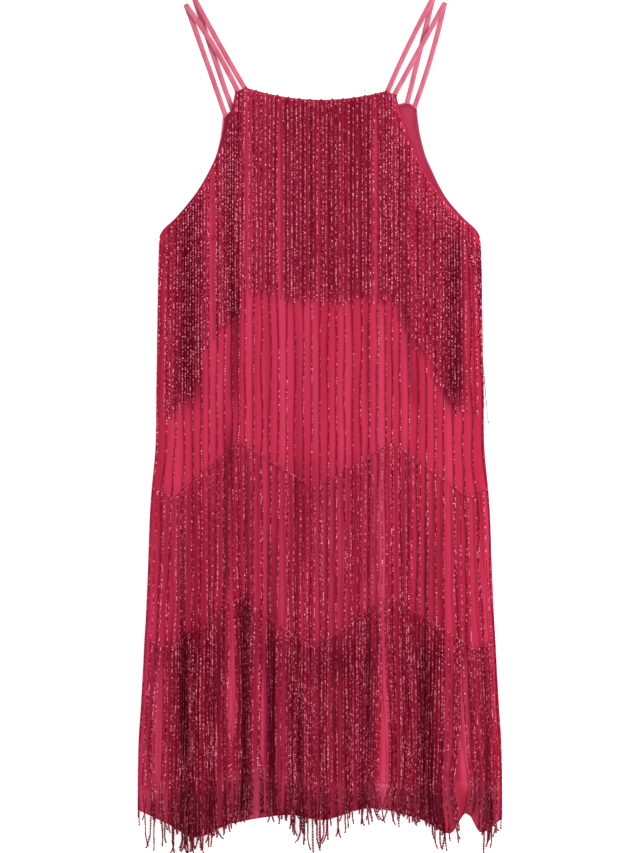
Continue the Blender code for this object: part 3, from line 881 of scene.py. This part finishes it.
def bead_glass():
    """Crimson glass seed beads. Pale pink flecks on them are painted highlights, more in some runs of a
    strand than in others; the tone that sets them differs at random from bead to bead and run to run, and
    partly stands for glints in how pale the glass is. The rest of the glass looks deep crimson, and painted
    shade darkens it in bunches and below the lining's hem."""
    finish, tree, shader = new_finish(
        "crimson glass seed beads with painted glints",
        Roughness=0.4,
        IOR=1.5,
        Specular_IOR_Level=0.15,
        Specular_Tint="#FF8EAA",
    )
    shade = told_by(tree, "shade")
    runs = stretched_noise(tree, (190, 14, 190), 0.36, 0.64, 3.0)
    own = add_node(tree, MATH, {0: told_by(tree, "tone"), 1: 0.6}, operation="MULTIPLY")
    lit = add_node(tree, MATH, {0: runs, 1: 0.4, 2: own}, operation="MULTIPLY_ADD")
    part = add_node(tree, RANGE, {0: lit, 1: 0.1, 2: 0.7})
    glass = add_node(tree, MIX, {0: part, 6: "#70001C", 7: "#B01038"}, 2, data_type="RGBA")
    # Painted shade from the strand darkens the glass.
    part = add_node(tree, RANGE, {0: shade, 4: 0.7})
    deep = add_node(tree, MIX, {0: part, 6: glass, 7: "#340009"}, 2, data_type="RGBA")
    # Pale pink flecks are painted highlights, brighter with the bead's tone and fewer where painted shade
    # lies.
    painted_glint_flecks = stretched_noise(tree, (820, 340, 820), 0.5, 0.62, 0.0)
    bright = add_node(tree, RANGE, {0: lit, 1: 0.3, 2: 0.8})
    open_to_light = add_node(tree, RANGE, {0: shade, 2: 0.9, 3: 1.0, 4: 0.3})
    paler = add_node(tree, MATH, {0: bright, 1: open_to_light}, operation="MULTIPLY")
    shining = add_node(tree, MATH, {0: painted_glint_flecks, 1: paler}, operation="MULTIPLY")
    colour = add_node(tree, MIX, {0: shining, 6: deep, 7: "#FFA4BE"}, 2, data_type="RGBA")
    rough = add_node(tree, RANGE, {0: lit, 1: 0.15, 2: 0.8, 3: 0.6, 4: 0.26})
    feed(tree, shader, {"Base Color": colour, "Roughness": rough})
    return finish


def bead_thread():
    """Twisted polyester thread in crimson, matt and a little fuzzy."""
    finish, tree, shader = new_finish("twisted polyester thread", Roughness=0.8, Specular_IOR_Level=0.1)
    twist = stretched_noise(tree, (400, 400, 400), 0.3, 0.7)
    colour = add_node(tree, MIX, {0: twist, 6: "#7E1230", 7: "#A42244"}, 2, data_type="RGBA")
    feed(tree, shader, {"Base Color": colour})
    return finish


def floor_paper():
    """Matt white paper over a light table, so that hardly a shadow falls on it, with a faint mottle."""
    finish, tree, shader = new_finish(
        "lit studio paper", Roughness=0.9, Emission_Color="#FFFFFF", Emission_Strength=0.55
    )
    mottle = stretched_noise(tree, (3, 3, 3), 0.3, 0.7)
    colour = add_node(tree, MIX, {0: mottle, 6: "#EFEFEE", 7: "#F2F2F2"}, 2, data_type="RGBA")
    feed(tree, shader, {"Base Color": colour})
    return finish


def strung_tree():
    """Geometry nodes that string beads along curves, with the thread that holds them."""
    tree = bpy.data.node_groups.new("strung beads", "GeometryNodeTree")
    for name, kind in (
        ("Curves", "Geometry"),
        ("Pitch", "Float"),
        ("Radius", "Float"),
        ("Length", "Float"),
        ("Palest", "Float"),
        ("Thread radius", "Float"),
        ("Thread sides", "Int"),
        ("Thread step", "Float"),
        ("Seed", "Int"),
        ("Bead finish", "Material"),
        ("Thread finish", "Material"),
    ):
        tree.interface.new_socket(name, in_out="INPUT", socket_type="NodeSocket" + kind)
    tree.interface.new_socket("Strung", in_out="OUTPUT", socket_type="NodeSocketGeometry")
    given = add_node(tree, "NodeGroupInput").node.outputs
    seed = given["Seed"]

    # Each point's tilt carries the strand's painted shade, stored for the glass.
    depth = add_node(tree, "GeometryNodeInputNamedAttribute", {"Name": "tilt"}, data_type="FLOAT")
    inputs = {"Geometry": given["Curves"], "Name": "shade", "Value": depth}
    shaded = add_node(tree, STORE, inputs, data_type="FLOAT", domain="POINT")
    places = add_node(tree, RESAMPLE, {"Curve": shaded, "Length": given["Pitch"]}, mode="LENGTH")
    inputs = {"Segments": 4, "Rings": 3, "Radius": BEAD_FULLNESS}
    bead = add_node(tree, "GeometryNodeMeshUVSphere", inputs, out="Mesh")
    half_length = add_node(tree, MATH, {0: given["Length"], 1: 0.5}, operation="MULTIPLY")
    inputs = {"X": given["Radius"], "Y": given["Radius"], "Z": half_length}
    size = add_node(tree, "ShaderNodeCombineXYZ", inputs)
    smallest, largest = BEAD_SIZES
    inputs = {2: smallest, 3: largest, "Seed": seed}
    spread = add_node(tree, RANDOM, inputs, 1, data_type="FLOAT")
    thickness = add_node(tree, "GeometryNodeInputRadius")
    swelled = add_node(tree, MATH, {0: spread, 1: thickness}, operation="MULTIPLY")
    sized = add_node(tree, "ShaderNodeVectorMath", {0: size, 3: swelled}, operation="SCALE")

    along = add_node(tree, "GeometryNodeInputTangent")
    turned = add_node(tree, "FunctionNodeAlignRotationToVector", {"Vector": along}, axis="Z")
    roll = add_node(tree, RANDOM, {3: 2 * math.pi, "Seed": seed}, 1, data_type="FLOAT")
    rolled = add_node(tree, "FunctionNodeAxisAngleToRotation", {"Axis": (0, 0, 1), "Angle": roll})
    inputs = {"Rotation": turned, "Rotate By": rolled}
    placed = add_node(tree, "FunctionNodeRotateRotation", inputs, rotation_space="LOCAL")
    inputs = {"Points": places, "Instance": bead, "Rotation": placed, "Scale": sized}
    beads = add_node(tree, "GeometryNodeInstanceOnPoints", inputs)
    tone = add_node(tree, RANDOM, {3: given["Palest"], "Seed": seed}, 1, data_type="FLOAT")
    inputs = {"Geometry": beads, "Name": "tone", "Value": tone}
    toned = add_node(tree, STORE, inputs, data_type="FLOAT", domain="INSTANCE")
    real = add_node(tree, "GeometryNodeRealizeInstances", {0: toned})
    smooth = add_node(tree, "GeometryNodeSetShadeSmooth", {0: real})
    glassy = add_node(tree, COAT, {"Geometry": smooth, "Material": given["Bead finish"]})

    inputs = {"Curve": given["Curves"], "Length": given["Thread step"]}
    coarse = add_node(tree, RESAMPLE, inputs, mode="LENGTH")
    inputs = {"Resolution": given["Thread sides"], "Radius": given["Thread radius"]}
    ring = add_node(tree, "GeometryNodeCurvePrimitiveCircle", inputs)
    inputs = {"Curve": coarse, "Profile Curve": ring, "Fill Caps": True}
    core = add_node(tree, "GeometryNodeCurveToMesh", inputs)
    spun = add_node(tree, COAT, {"Geometry": core, "Material": given["Thread finish"]})
    joined = add_node(tree, "GeometryNodeJoinGeometry", {0: spun})
    feed(tree, joined.node, {0: glassy})
    add_node(tree, "NodeGroupOutput", {0: joined})
    return tree


def curves_of(name, lines, thickness):
    """A curve object with one polyline for each list of points, as thick as thickness(x, y) says, with each
    point's painted shade in its tilt.
    """
    curve = bpy.data.curves.new(name + " lines", "CURVE")
    curve.dimensions = "3D"
    for points in lines:
        spline = curve.splines.new("POLY")
        spline.points.add(len(points) - 1)
        spline.points.foreach_set("co", [value for point in points for value in (*point, 1.0)])
        spline.points.foreach_set("tilt", [strand_shade(x, y) for x, y, _ in points])
        if thickness:
            spline.points.foreach_set("radius", [thickness(x, y) for x, y, _ in points])
    return new_piece(name + " lines", curve)


def strung(name, lines, tree, thickness=None, **given):
    """Beads and thread along the lines, as one plain mesh."""
    carrier = curves_of(name, lines, thickness)
    modifier = carrier.modifiers.new("strung beads", "NODES")
    modifier.node_group = tree
    for item in tree.interface.items_tree:
        if item.in_out == "INPUT" and item.name in given:
            modifier[item.identifier] = given[item.name]
    evaluated = carrier.evaluated_get(bpy.context.evaluated_depsgraph_get())
    mesh = bpy.data.meshes.new_from_object(evaluated)
    mesh.name = name
    bpy.data.objects.remove(carrier)
    return new_piece(name, mesh)


def opened_by(fold, y):
    """How wide a fold holds the strands apart at a height: more down the skirt, and shut at its foot."""
    start, full, shut = fold[3] * MM, fold[4] * MM, fold[6] * MM
    return share(y, start, full) ** GAP_GROWTH * (1 - eased(share(y, shut + GAP_SHUTS, shut)))


def push_of_folds(hem_x, y, root):
    """How far a strand is moved across, off the crests of folds that open below its root."""
    moved = 0.0
    for fold in FOLDS:
        crest, gap = fold[0], fold[5]
        opened = max(0.0, opened_by(fold, y) - opened_by(fold, root))
        bowed = fold[7] * MM * math.sin(math.pi * share(y, BOW_TOP, fold[6] * MM))
        away = hem_x - crest * MM
        near = math.exp(-abs(away) / (GAP_SPREAD * gap * MM))
        moved += (math.copysign(gap * MM, away) + bowed) * near * opened
    return moved


def calm(hem_x, y):
    """How much a strand may still stray, from nearly 0 beside a fold that has opened to 1 away from it."""
    left = 1.0
    for fold in FOLDS:
        near = math.exp(-(((hem_x - fold[0] * MM) / (CALM_SPREAD * fold[5] * MM)) ** 2))
        left *= 1 - CALMED * near * opened_by(fold, y)
    return left


def pull_of_bunches(hem_x, y, root):
    """How far a strand is drawn in towards the bunches near it."""
    moved = 0.0
    for place, start, full, spread, pull in BUNCHES:
        drawn = share(y, start * MM, full * MM) - share(root, start * MM, full * MM)
        off = (hem_x - place * MM) / (spread * MM)
        moved -= pull * MM * off * math.exp(-off * off) * drawn * BUNCH_GAIN
    return moved


def support(x, y):
    """The height of what a strand lies on: the front shell, or the floor past its hem."""
    if y < shell_hem(x) - MM:
        return 0.0
    return shell_top(x, y)


def push_of_gaps(x):
    """How far a strand of the bib is moved off the gaps near it."""
    moved = 0.0
    for place, gap in BIB_GAPS:
        away = x - place * MM
        moved += math.copysign(gap * MM * math.exp(-abs(away) / (GAP_SPREAD * gap * MM)), away)
    return moved


def loop_thickness(x, y):
    """How much thicker a strand looks where its loop is twisted on itself, below the lining's hem."""
    return 1.0 + TWIST_SWELL * share(y, lining_hem(x), lining_hem(x) - TWIST_RUN)


def gather(hem_x):
    """How far neighbouring strands lean towards each other, in uneven groups."""
    return sum(
        reach * MM * math.sin(2 * math.pi * hem_x / (length * MM) + phase)
        for length, reach, phase in GATHERS
    )


def tuft_places(chance):
    """Places at the hem where tips gather, unevenly spaced."""
    places = [-HEM_HALF - SIDE_FALL]
    while places[-1] < HEM_HALF + SIDE_FALL:
        places.append(places[-1] + chance.uniform(*TUFT_SPACING) * MM)
    return places


def strand_line(x, root, tip, level, chance, tufts=(), in_bib=False):
    """Points down one strand, which wanders a little, and curls on the floor where it passes the hem."""
    hem_x = unfanned(x, skirt_edge(root))
    tuft = min(tufts, key=lambda place: abs(place - hem_x)) if tufts else None
    waves = [(chance.uniform(*WANDER_WAVES) * MM, chance.uniform(0, 2 * math.pi)) for _ in range(2)]
    size = chance.uniform(*WANDER_REACH) * WANDER

    def across(y):
        grown = share(y, root, root - WANDER_GROWTH)
        wander = sum(math.sin(2 * math.pi * y / length + phase) for length, phase in waves)
        place = fanned(hem_x, skirt_edge(y)) + push_of_folds(hem_x, y, root)
        stray = size * wander * grown * (BIB_CALM if in_bib else 1.0)
        if not in_bib:
            stray += gather(hem_x) * share(y, GATHER_TOP, GATHER_FULL)
        place += pull_of_bunches(hem_x, y, root) + stray * calm(hem_x, y)
        if root > UNDERARM:
            beside = 1.0 if in_bib else share(y, bib_tips(x) - GAP_FOOT, bib_tips(x) + GAP_WHOLE)
            place += push_of_gaps(x) * share(y, root, root - WANDER_GROWTH / 2) * beside
        if tuft is not None:
            drawn = TUFT_PULL * eased(share(y, tip + TUFT_START, tip)) * calm(hem_x, y)
            place += (tuft - place) * drawn
        return place

    curls = tip < shell_hem(x) + CURL_NEAR_HEM
    straight_end = tip + (CURL_STARTS if curls else 0.0)
    flat = [(across(y), y) for y in stepped(root, straight_end, PATH_STEP)]
    if curls:
        (ax, ay), (px, py) = flat[-2:]
        heading = math.atan2(py - ay, px - ax)
        heading += chance.gauss(0, TIP_SLANT)
        bend = chance.gauss(0, TIP_BEND)
        length = CURL_LENGTH * chance.uniform(*CURL_LENGTHS)
        for i in range(round(length / CURL_STEP)):
            heading += bend * (CURL_FIRST + CURL_GROWTH * i * CURL_STEP / length)
            px += math.cos(heading) * CURL_STEP
            py += math.sin(heading) * CURL_STEP
            flat.append((px, py))
    held = [max(support(px + side * BEAD_RADIUS, py) for side in (-1, 0, 1)) for px, py in flat]
    points = []
    for i, (px, py) in enumerate(flat):
        near = held[max(0, i - 1) : i + 2]
        lifted = BEAD_REACH * loop_thickness(px, py) + level * LEVEL_STEP
        points.append((px, py, max(held[i], sum(near) / len(near)) + lifted))
    return points


def top_edge(x):
    """The front's neckline and armholes as one line across, in the pattern: the height at x."""
    if abs(x) <= front_half(FRONT_CORNER):
        return front_neck(x)
    low, high = UNDERARM, FRONT_CORNER
    for _ in range(30):
        middle = (low + high) / 2
        if front_half(middle) > abs(x):
            low = middle
        else:
            high = middle
    return low


def normal_of(edge, x):
    """The unit normal of a line across the dress, pointing up and out."""
    step = 0.5 * MM
    slope = (edge(x + step) - edge(x - step)) / (2 * step)
    length = math.hypot(1.0, slope)
    return -slope / length, 1.0 / length


def crowding(x, bumps):
    """How many more strands than usual hang at a place across the dress."""
    more = sum(more * math.exp(-(((x / MM - at) / wide) ** 2)) for at, wide, more in bumps)
    return max(FEWEST, 1 + more)


def crowded_places(half, pitch, least, bumps, edge=None):
    """Places across the dress a pitch apart along an edge, closer where the bumps crowd them."""
    fine_step = 0.2 * MM
    fine = [i * fine_step - half for i in range(int(2 * half / fine_step) + 1)]
    walked, left, last = 0.0, pitch / 2, -half - pitch
    places = []
    for before, x in zip(fine, fine[1:]):
        rise = edge(x) - edge(before) if edge else 0.0
        crowd = crowding(x, bumps)
        walked += math.hypot(fine_step, rise) * crowd
        if walked >= left and x - last >= least / max(1.0, crowd**0.5):
            places.append(x)
            left, last = walked + pitch, x
    return places


def inside_edge(x, inset):
    """A laid point this far inside the front's top edge, at a place across it."""
    nx, ny = normal_of(top_edge, x)
    return lay_front(x - nx * inset, top_edge(x) - ny * inset)


def edge_strands(places, level, tip_of, chance, tufts=()):
    """Strands from the front's top edge."""
    lines = []
    for x in places:
        root_x, root = inside_edge(x, STRIP_INSET + 0.5 * STRIP_WIDTH)
        lines.append(strand_line(root_x, root, tip_of(root_x), level, chance, tufts, not tufts))
    return lines


def chevron_strands(chevron, places, level, tip_of, chance, tufts):
    """Strands from a zigzag across the skirt."""
    return [strand_line(x, chevron(x), tip_of(x), level, chance, tufts) for x in places]


def side_strands(chance):
    """Strands at the side seams: a long one on each, one that stands off the right one, and a fan of
    short ones that slant out to them from the armholes."""
    lines = []
    for side, root_in, foot, away in SIDE_STRANDS:
        length = chance.uniform(*SIDE_WAVES) * MM
        points = []
        for y in stepped(UNDERARM + root_in * FAN_DROP * MM, foot * MM, PATH_STEP):
            slant = root_in * MM * (1 - share(y, UNDERARM, FAN_FOOT)) ** 1.5
            off = SIDE_INSET + slant - away * MM * share(y, STAND_OFF_TOP, foot * MM) ** 3
            x = side * (front_half(y) - off + SIDE_SWAY * math.sin(2 * math.pi * y / length))
            held = shell_top(x, y) if abs(x) < front_half(y) else LAYER
            points.append((x, y, held + BEAD_REACH * loop_thickness(x, y)))
        lines.append(points)
    return lines


def dress_up(piece, slot, *nodes):
    """Ties a finished piece to the frame."""
    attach(piece, "root")
    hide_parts(*nodes)
    return piece


def add_cloth(finishes):
    """The four panels. Returns them by name."""
    front_rows = stepped(FRONT_CORNER, LOWEST_ROW, FRONT_ROW_STEP)
    back_rows = stepped(BACK_CORNER, LOWEST_ROW, BACK_ROW_STEP)
    to_hem = [(past_lining, 4), (down_at_hem, 3), (shell_hem, 4)]
    fine, coarse = spread_evenly(FRONT_COLUMNS), spread_evenly(BACK_COLUMNS)
    front, back = (front_half, front_neck, lay_front), (back_half, back_neck, lay_back)
    grids = {
        "back_shell_cloth": panel_grid(coarse, back_rows, [(shell_hem, 6)], *back),
        "back_lining_cloth": panel_grid(coarse, back_rows, [(lining_hem, 4)], *back, lining=True),
        "front_lining_cloth": panel_grid(fine, front_rows, [(lining_hem, 4)], *front, lining=True),
        "front_shell_cloth": panel_grid(fine, front_rows, to_hem, *front),
    }
    tops = {
        "back_shell_cloth": lambda x, y: SHEER,
        "back_lining_cloth": back_lining_top,
        "front_lining_cloth": front_lining_top,
        "front_shell_cloth": shell_top,
    }
    return {
        name: cloth_panel(name, grid, tops[name], finishes[name])
        for name, grid in grids.items()
    }


def strap_leg(end, fold, bow, level, flip, parts):
    """Points from a strap's end up to its fold, bowed to the right, each with its heading and turn."""
    length = math.dist(end, fold)
    ux, uy = (fold[0] - end[0]) / length, (fold[1] - end[1]) / length
    points = []
    for part in parts:
        off = bow * 4 * part * (1 - part)
        lean = bow * 4 * (1 - 2 * part) / length
        x = end[0] + (fold[0] - end[0]) * part + uy * off
        y = end[1] + (fold[1] - end[1]) * part - ux * off
        points.append((x, y, level, (ux + uy * lean, uy - ux * lean), flip))
    return points


def strap_path(back, back_bow, fold, front, front_bow):
    """Centre points, headings and turns of a strap: back leg, a half turn at the fold, front leg."""
    radius = (FRONT_LEG_LEVEL - BACK_LEG_LEVEL) / 2
    middle = (FRONT_LEG_LEVEL + BACK_LEG_LEVEL) / 2
    parts = []
    for end in (back, front):
        tuck = -STRAP_TUCK / math.dist(end, fold)
        along = [i / LEG_STEPS for i in range(1, LEG_STEPS)]
        parts.append([tuck, tuck * 0.5, tuck * 0.1, 0.02, *along])
    up = strap_leg(back, fold, back_bow, BACK_LEG_LEVEL, 0.0, parts[0])
    down = strap_leg(front, fold, front_bow, FRONT_LEG_LEVEL, math.pi, parts[1])
    (ax, ay), (bx, by) = up[-1][3], down[-1][3]
    turns = []
    for step in range(FOLD_STEPS + 1):
        part = step / FOLD_STEPS
        hx, hy = ax + (bx - ax) * part, ay + (by - ay) * part
        reach = radius * math.sin(math.pi * part)
        z = middle - radius * math.cos(math.pi * part)
        turns.append((fold[0] + hx * reach, fold[1] + hy * reach, z, (hx, hy), math.pi * part))
    return [*up, *turns, *reversed(down)]


def strap_section(sides, thickness):
    """Points round a flattened rouleau."""
    ring = []
    for k in range(sides):
        angle = 2 * math.pi * (k + 0.5) / sides
        cx, cz = math.cos(angle), -math.sin(angle)
        across = math.copysign(abs(cx) ** 0.7, cx) * STRAP_WIDTH / 2
        ring.append((-across, math.copysign(abs(cz) ** 0.8, cz) * thickness / 2))
    return ring


def add_straps(finish):
    """The four straps, each sewn in between shell and lining at both ends."""
    sides = STRAP_SIDES
    for side, back_x, back_bow, fold_x, fold_y, front_x, front_bow in STRAPS:
        back = (back_x * MM, lay_back(back_x * MM, back_neck(back_x * MM))[1])
        front = (front_x * MM, lay_front(front_x * MM, front_neck(front_x * MM))[1])
        path = strap_path(back, back_bow * MM, (fold_x * MM, fold_y * MM), front, front_bow * MM)
        points, faces = [], []
        for step, (x, y, z, (hx, hy), turn) in enumerate(path):
            length = math.hypot(hx, hy)
            hx, hy = hx / length, hy / length
            from_end = min(step, len(path) - 1 - step)
            thickness = STRAP_SEWN if from_end < STRAP_SEWN_RINGS else STRAP_THICKNESS
            for across, through_it in strap_section(sides, thickness):
                out = math.sin(turn) * through_it
                px, py = x + hy * across + hx * out, y - hx * across + hy * out
                points.append((px, py, z + math.cos(turn) * through_it))
        for ring in range(len(path) - 1):
            for k in range(sides):
                a, b = ring * sides + k, ring * sides + (k + 1) % sides
                faces.append((a, a + sides, b + sides, b))
        faces.append(tuple(range(sides)))
        faces.append(tuple(len(points) - 1 - k for k in range(sides)))
        name = "strap_" + side
        mesh = bpy.data.meshes.new(name + "_satin")
        mesh.from_pydata(points, [], faces)
        mesh.shade_smooth()
        mesh.materials.append(finish)
        dress_up(new_piece(name + "_satin", mesh), "strap", name)


def add_fringe(tree, glass, thread):
    """Every strand of beads, in pieces that stand for the four trims of the solids."""
    chance = random.Random(SEED)

    def to_hem(x):
        if chance.random() < AT_HEM_SHARE / crowding(x, LOWER_CROWDS):
            return max(hem_tips(x), shell_hem(x) - AT_HEM) + chance.uniform(*AT_HEM_SPREAD) * MM
        return hem_tips(x) + chance.uniform(*TIP_SPREAD) * MM

    def to_bib(x):
        return bib_tips(x) + chance.uniform(*BIB_TIP_SPREAD) * MM

    tufts = tuft_places(chance)
    count = int(2 * TRIM_HALF / LONG_PITCH)
    long_places = [(i - (count - 1) / 2) * LONG_PITCH for i in range(count)]
    long_lines = edge_strands(long_places, 0, to_hem, chance, tufts)
    bib_places = crowded_places(TRIM_HALF, BIB_PITCH, BIB_STEP_ACROSS, BIB_CROWDS, top_edge)
    bib_lines = edge_strands(bib_places, 1, to_bib, chance)
    places = crowded_places(UPPER_HALF, UPPER_PITCH, UPPER_STEP, UPPER_CROWDS)
    upper = chevron_strands(upper_chevron, places, 1, to_hem, chance, tufts)
    places = crowded_places(LOWER_HALF, LOWER_PITCH, LOWER_STEP, LOWER_CROWDS)
    lower = chevron_strands(lower_chevron, places, 2, to_hem, chance, tufts)
    loose = side_strands(chance)
    long_lines = [loose[0], *long_lines, loose[1]]
    bib_lines += loose[2:]
    half = len(long_lines) // 2
    half_bib = len(bib_lines) // 2
    for name, lines, node in (
        ("long_strands_left", long_lines[:half], "long_strands"),
        ("long_strands_right", long_lines[half:], "long_strands"),
        ("bib_strands_left", bib_lines[:half_bib], "bib_fringe"),
        ("bib_strands_right", bib_lines[half_bib:], "bib_fringe"),
        ("upper_chevron_strands", upper, "upper_chevron_fringe"),
        ("lower_chevron_strands", lower, "lower_chevron_fringe"),
    ):
        piece = strung(
            name,
            lines,
            tree,
            loop_thickness,
            **{
                "Pitch": LONG_BEAD_PITCH if node == "long_strands" else BEAD_PITCH,
                "Radius": BEAD_RADIUS,
                "Length": BEAD_LENGTH,
                "Palest": PALEST[node],
                "Thread radius": THREAD_RADIUS * (LONG_THREAD if node == "long_strands" else 1),
                "Thread sides": 3,
                "Thread step": THREAD_STEP,
                "Seed": SEED + len(lines),
                "Bead finish": glass,
                "Thread finish": thread,
            },
        )
        dress_up(piece, "beads", node)


def add_line(name, lines, tree, strung_finish, cord_finish):
    """Beads, knots or stitches along lines, as the table of sewing says, with the cord that they sit on."""
    pitch, radius, length, palest, cord, sides = SEWING[name]
    piece = strung(
        name,
        lines,
        tree,
        **{
            "Pitch": pitch * MM,
            "Radius": radius * MM,
            "Length": length * MM,
            "Palest": palest,
            "Thread radius": cord * MM,
            "Thread sides": sides,
            "Thread step": SEWN_STEP,
            "Seed": SEED,
            "Bead finish": strung_finish,
            "Thread finish": cord_finish,
        },
    )
    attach(piece, "root")


def edge_run(half, neck, lay, corner, last, inset):
    """Laid points along a panel's neckline and armholes, from one underarm to the other."""
    right = []
    for x in stepped(0, half(corner), SEWN_STEP):
        right.append((x, neck(x) - inset))
    for y in stepped(corner, last, SEWN_STEP)[1:]:
        right.append((half(y) - inset, y))
    left = [(-x, y) for x, y in reversed(right[1:])]
    return [lay(x, y) for x, y in left + right]


def add_sewing(tree, glass, thread, binding, satin):
    """Binding with its knots, the zigzag lines of beads, the seams, the hems and their stitches."""
    front = (front_half, front_neck, lay_front, FRONT_CORNER)
    back = (back_half, back_neck, lay_back, BACK_CORNER)
    bound = edge_run(*front, UNDERARM + BINDING_END, FRONT_BINDING_INSET)
    back_bound = edge_run(*back, UNDERARM + BINDING_END, BACK_BINDING_INSET)
    topstitch = edge_run(*back, UNDERARM + TOPSTITCH_END, TOPSTITCH_INSET)
    neck_half = front_half(FRONT_CORNER)
    knotted = [lay_front(x, front_neck(x) + KNOT_RISE) for x in stepped(-neck_half, neck_half, SEWN_STEP)]
    chevrons = []
    for chevron, half, level in ((upper_chevron, UPPER_HALF, 1), (lower_chevron, LOWER_HALF, 2)):
        lifted = BEAD_REACH + level * LEVEL_STEP
        places = stepped(-half, half, SEWN_STEP)
        chevrons.append([(x, chevron(x) + MM, shell_top(x, chevron(x)) + lifted) for x in places])
    down = stepped(UNDERARM + SEAM_TOP, HEM_MEAN + SEWN_STEP, SEAM_STEP)
    sides = [[(side * (front_half(y) - SEAM_INSET), y, SEAM_LEVEL) for y in down] for side in (-1, 1)]
    places = stepped(-HEM_HALF - HEM_REACH, HEM_HALF + HEM_REACH, SEWN_STEP)
    hem = [(x, shell_hem(x) + MM, shell_top(x, shell_hem(x)) - STITCH_LIFT) for x in places]
    stitches = []
    for rise in LINING_STITCHES:
        over = [front_lining_top(x, lining_hem(x)) + STITCH_LIFT for x in places]
        stitches.append([(x, lining_hem(x) + rise, z) for x, z in zip(places, over)])
    stitches.append([(x, y, LAYER + CLOTH + STITCH_LIFT) for x, y in topstitch])
    for name, lines, strung_finish, cord_finish in (
        ("front_binding", [[(x, y, FRONT_BINDING_LEVEL) for x, y in bound]], binding, binding),
        ("back_binding", [[(x, y, BACK_BINDING_LEVEL) for x, y in back_bound]], satin, satin),
        ("neckline_knots", [[(x, y, KNOT_LEVEL) for x, y in knotted]], thread, thread),
        ("chevron_trims", chevrons, glass, trim_cloth()),
        ("side_seams", sides, binding, binding),
        ("rolled_hem", [hem], binding, binding),
        ("stitches", stitches, thread, thread),
    ):
        add_line(name, lines, tree, strung_finish, cord_finish)


def add_studio():
    """Pale floor, soft light and the camera, straight above as in the photo."""
    mesh = bpy.data.meshes.new("studio_floor")
    half = FLOOR_HALF
    mesh.from_pydata(
        [(-half, -half, 0), (half, -half, 0), (half, half, 0), (-half, half, 0)], [], [(0, 1, 2, 3)]
    )
    mesh.materials.append(floor_paper())
    floor = new_piece("studio_floor", mesh)
    floor.location.z = -FLOOR_DROP

    world = bpy.data.worlds.new("studio")
    bpy.context.scene.world = world
    world.use_nodes = True
    sky = world.node_tree.nodes["Background"]
    feed(world.node_tree, sky, {"Color": "#FFFFFF", "Strength": SKY_STRENGTH})
    light = bpy.data.lights.new("key softbox", "AREA")
    light.energy = KEY_POWER
    light.shape = "SQUARE"
    light.size = KEY_SIZE
    lamp = bpy.data.objects.new("key softbox", light)
    lamp.location = KEY_PLACE
    lamp.rotation_mode = "QUATERNION"
    lamp.rotation_quaternion = (-lamp.location).to_track_quat("-Z", "Y")
    bpy.context.scene.collection.objects.link(lamp)

    camera = bpy.data.cameras.new("overhead")
    camera.sensor_width = SENSOR
    camera.lens = SENSOR * EYE_HEIGHT / (PHOTO_HEIGHT * PIXEL)
    eye = bpy.data.objects.new("overhead", camera)
    eye.location = (0, (ORIGIN_ROW - PHOTO_HEIGHT / 2) * PIXEL, EYE_HEIGHT)
    bpy.context.scene.collection.objects.link(eye)
    bpy.context.scene.camera = eye
    bpy.context.scene.view_settings.view_transform = "Standard"


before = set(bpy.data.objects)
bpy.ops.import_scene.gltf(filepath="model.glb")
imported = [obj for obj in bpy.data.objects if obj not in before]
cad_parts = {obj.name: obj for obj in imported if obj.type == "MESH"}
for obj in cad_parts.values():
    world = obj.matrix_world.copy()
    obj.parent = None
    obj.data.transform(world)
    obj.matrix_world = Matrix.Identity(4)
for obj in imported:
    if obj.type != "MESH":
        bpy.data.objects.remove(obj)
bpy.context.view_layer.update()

CHIFFON = chiffon()
FINISHES = {
    "back_shell_cloth": CHIFFON,
    "back_lining_cloth": lining_jersey("viscose jersey lining, inner side", "#9C2844", "#AE3654"),
    "front_lining_cloth": lining_jersey("viscose jersey lining", "#CA3858", "#E24A70"),
    "front_shell_cloth": CHIFFON,
}
GLASS = bead_glass()
THREAD = bead_thread()
panels = add_cloth(FINISHES)
for name, cut, area, rests_on in (
    ("back_shell", (0.44, 0.90), 0.345, "studio_floor"),
    ("back_lining", (0.42, 0.84), 0.315, "back_shell"),
    ("front_lining", (0.42, 0.84), 0.325, "back_lining"),
    ("front_shell", (0.44, 0.90), 0.355, "front_lining"),
):
    panel = dress_up(panels[name + "_cloth"], "lining" if "lining" in name else "chiffon", name)
SATIN = strap_satin()
add_straps(SATIN)
STRUNG = strung_tree()
add_fringe(STRUNG, GLASS, THREAD)
add_sewing(STRUNG, GLASS, THREAD, piping_cloth(), SATIN)
add_studio()
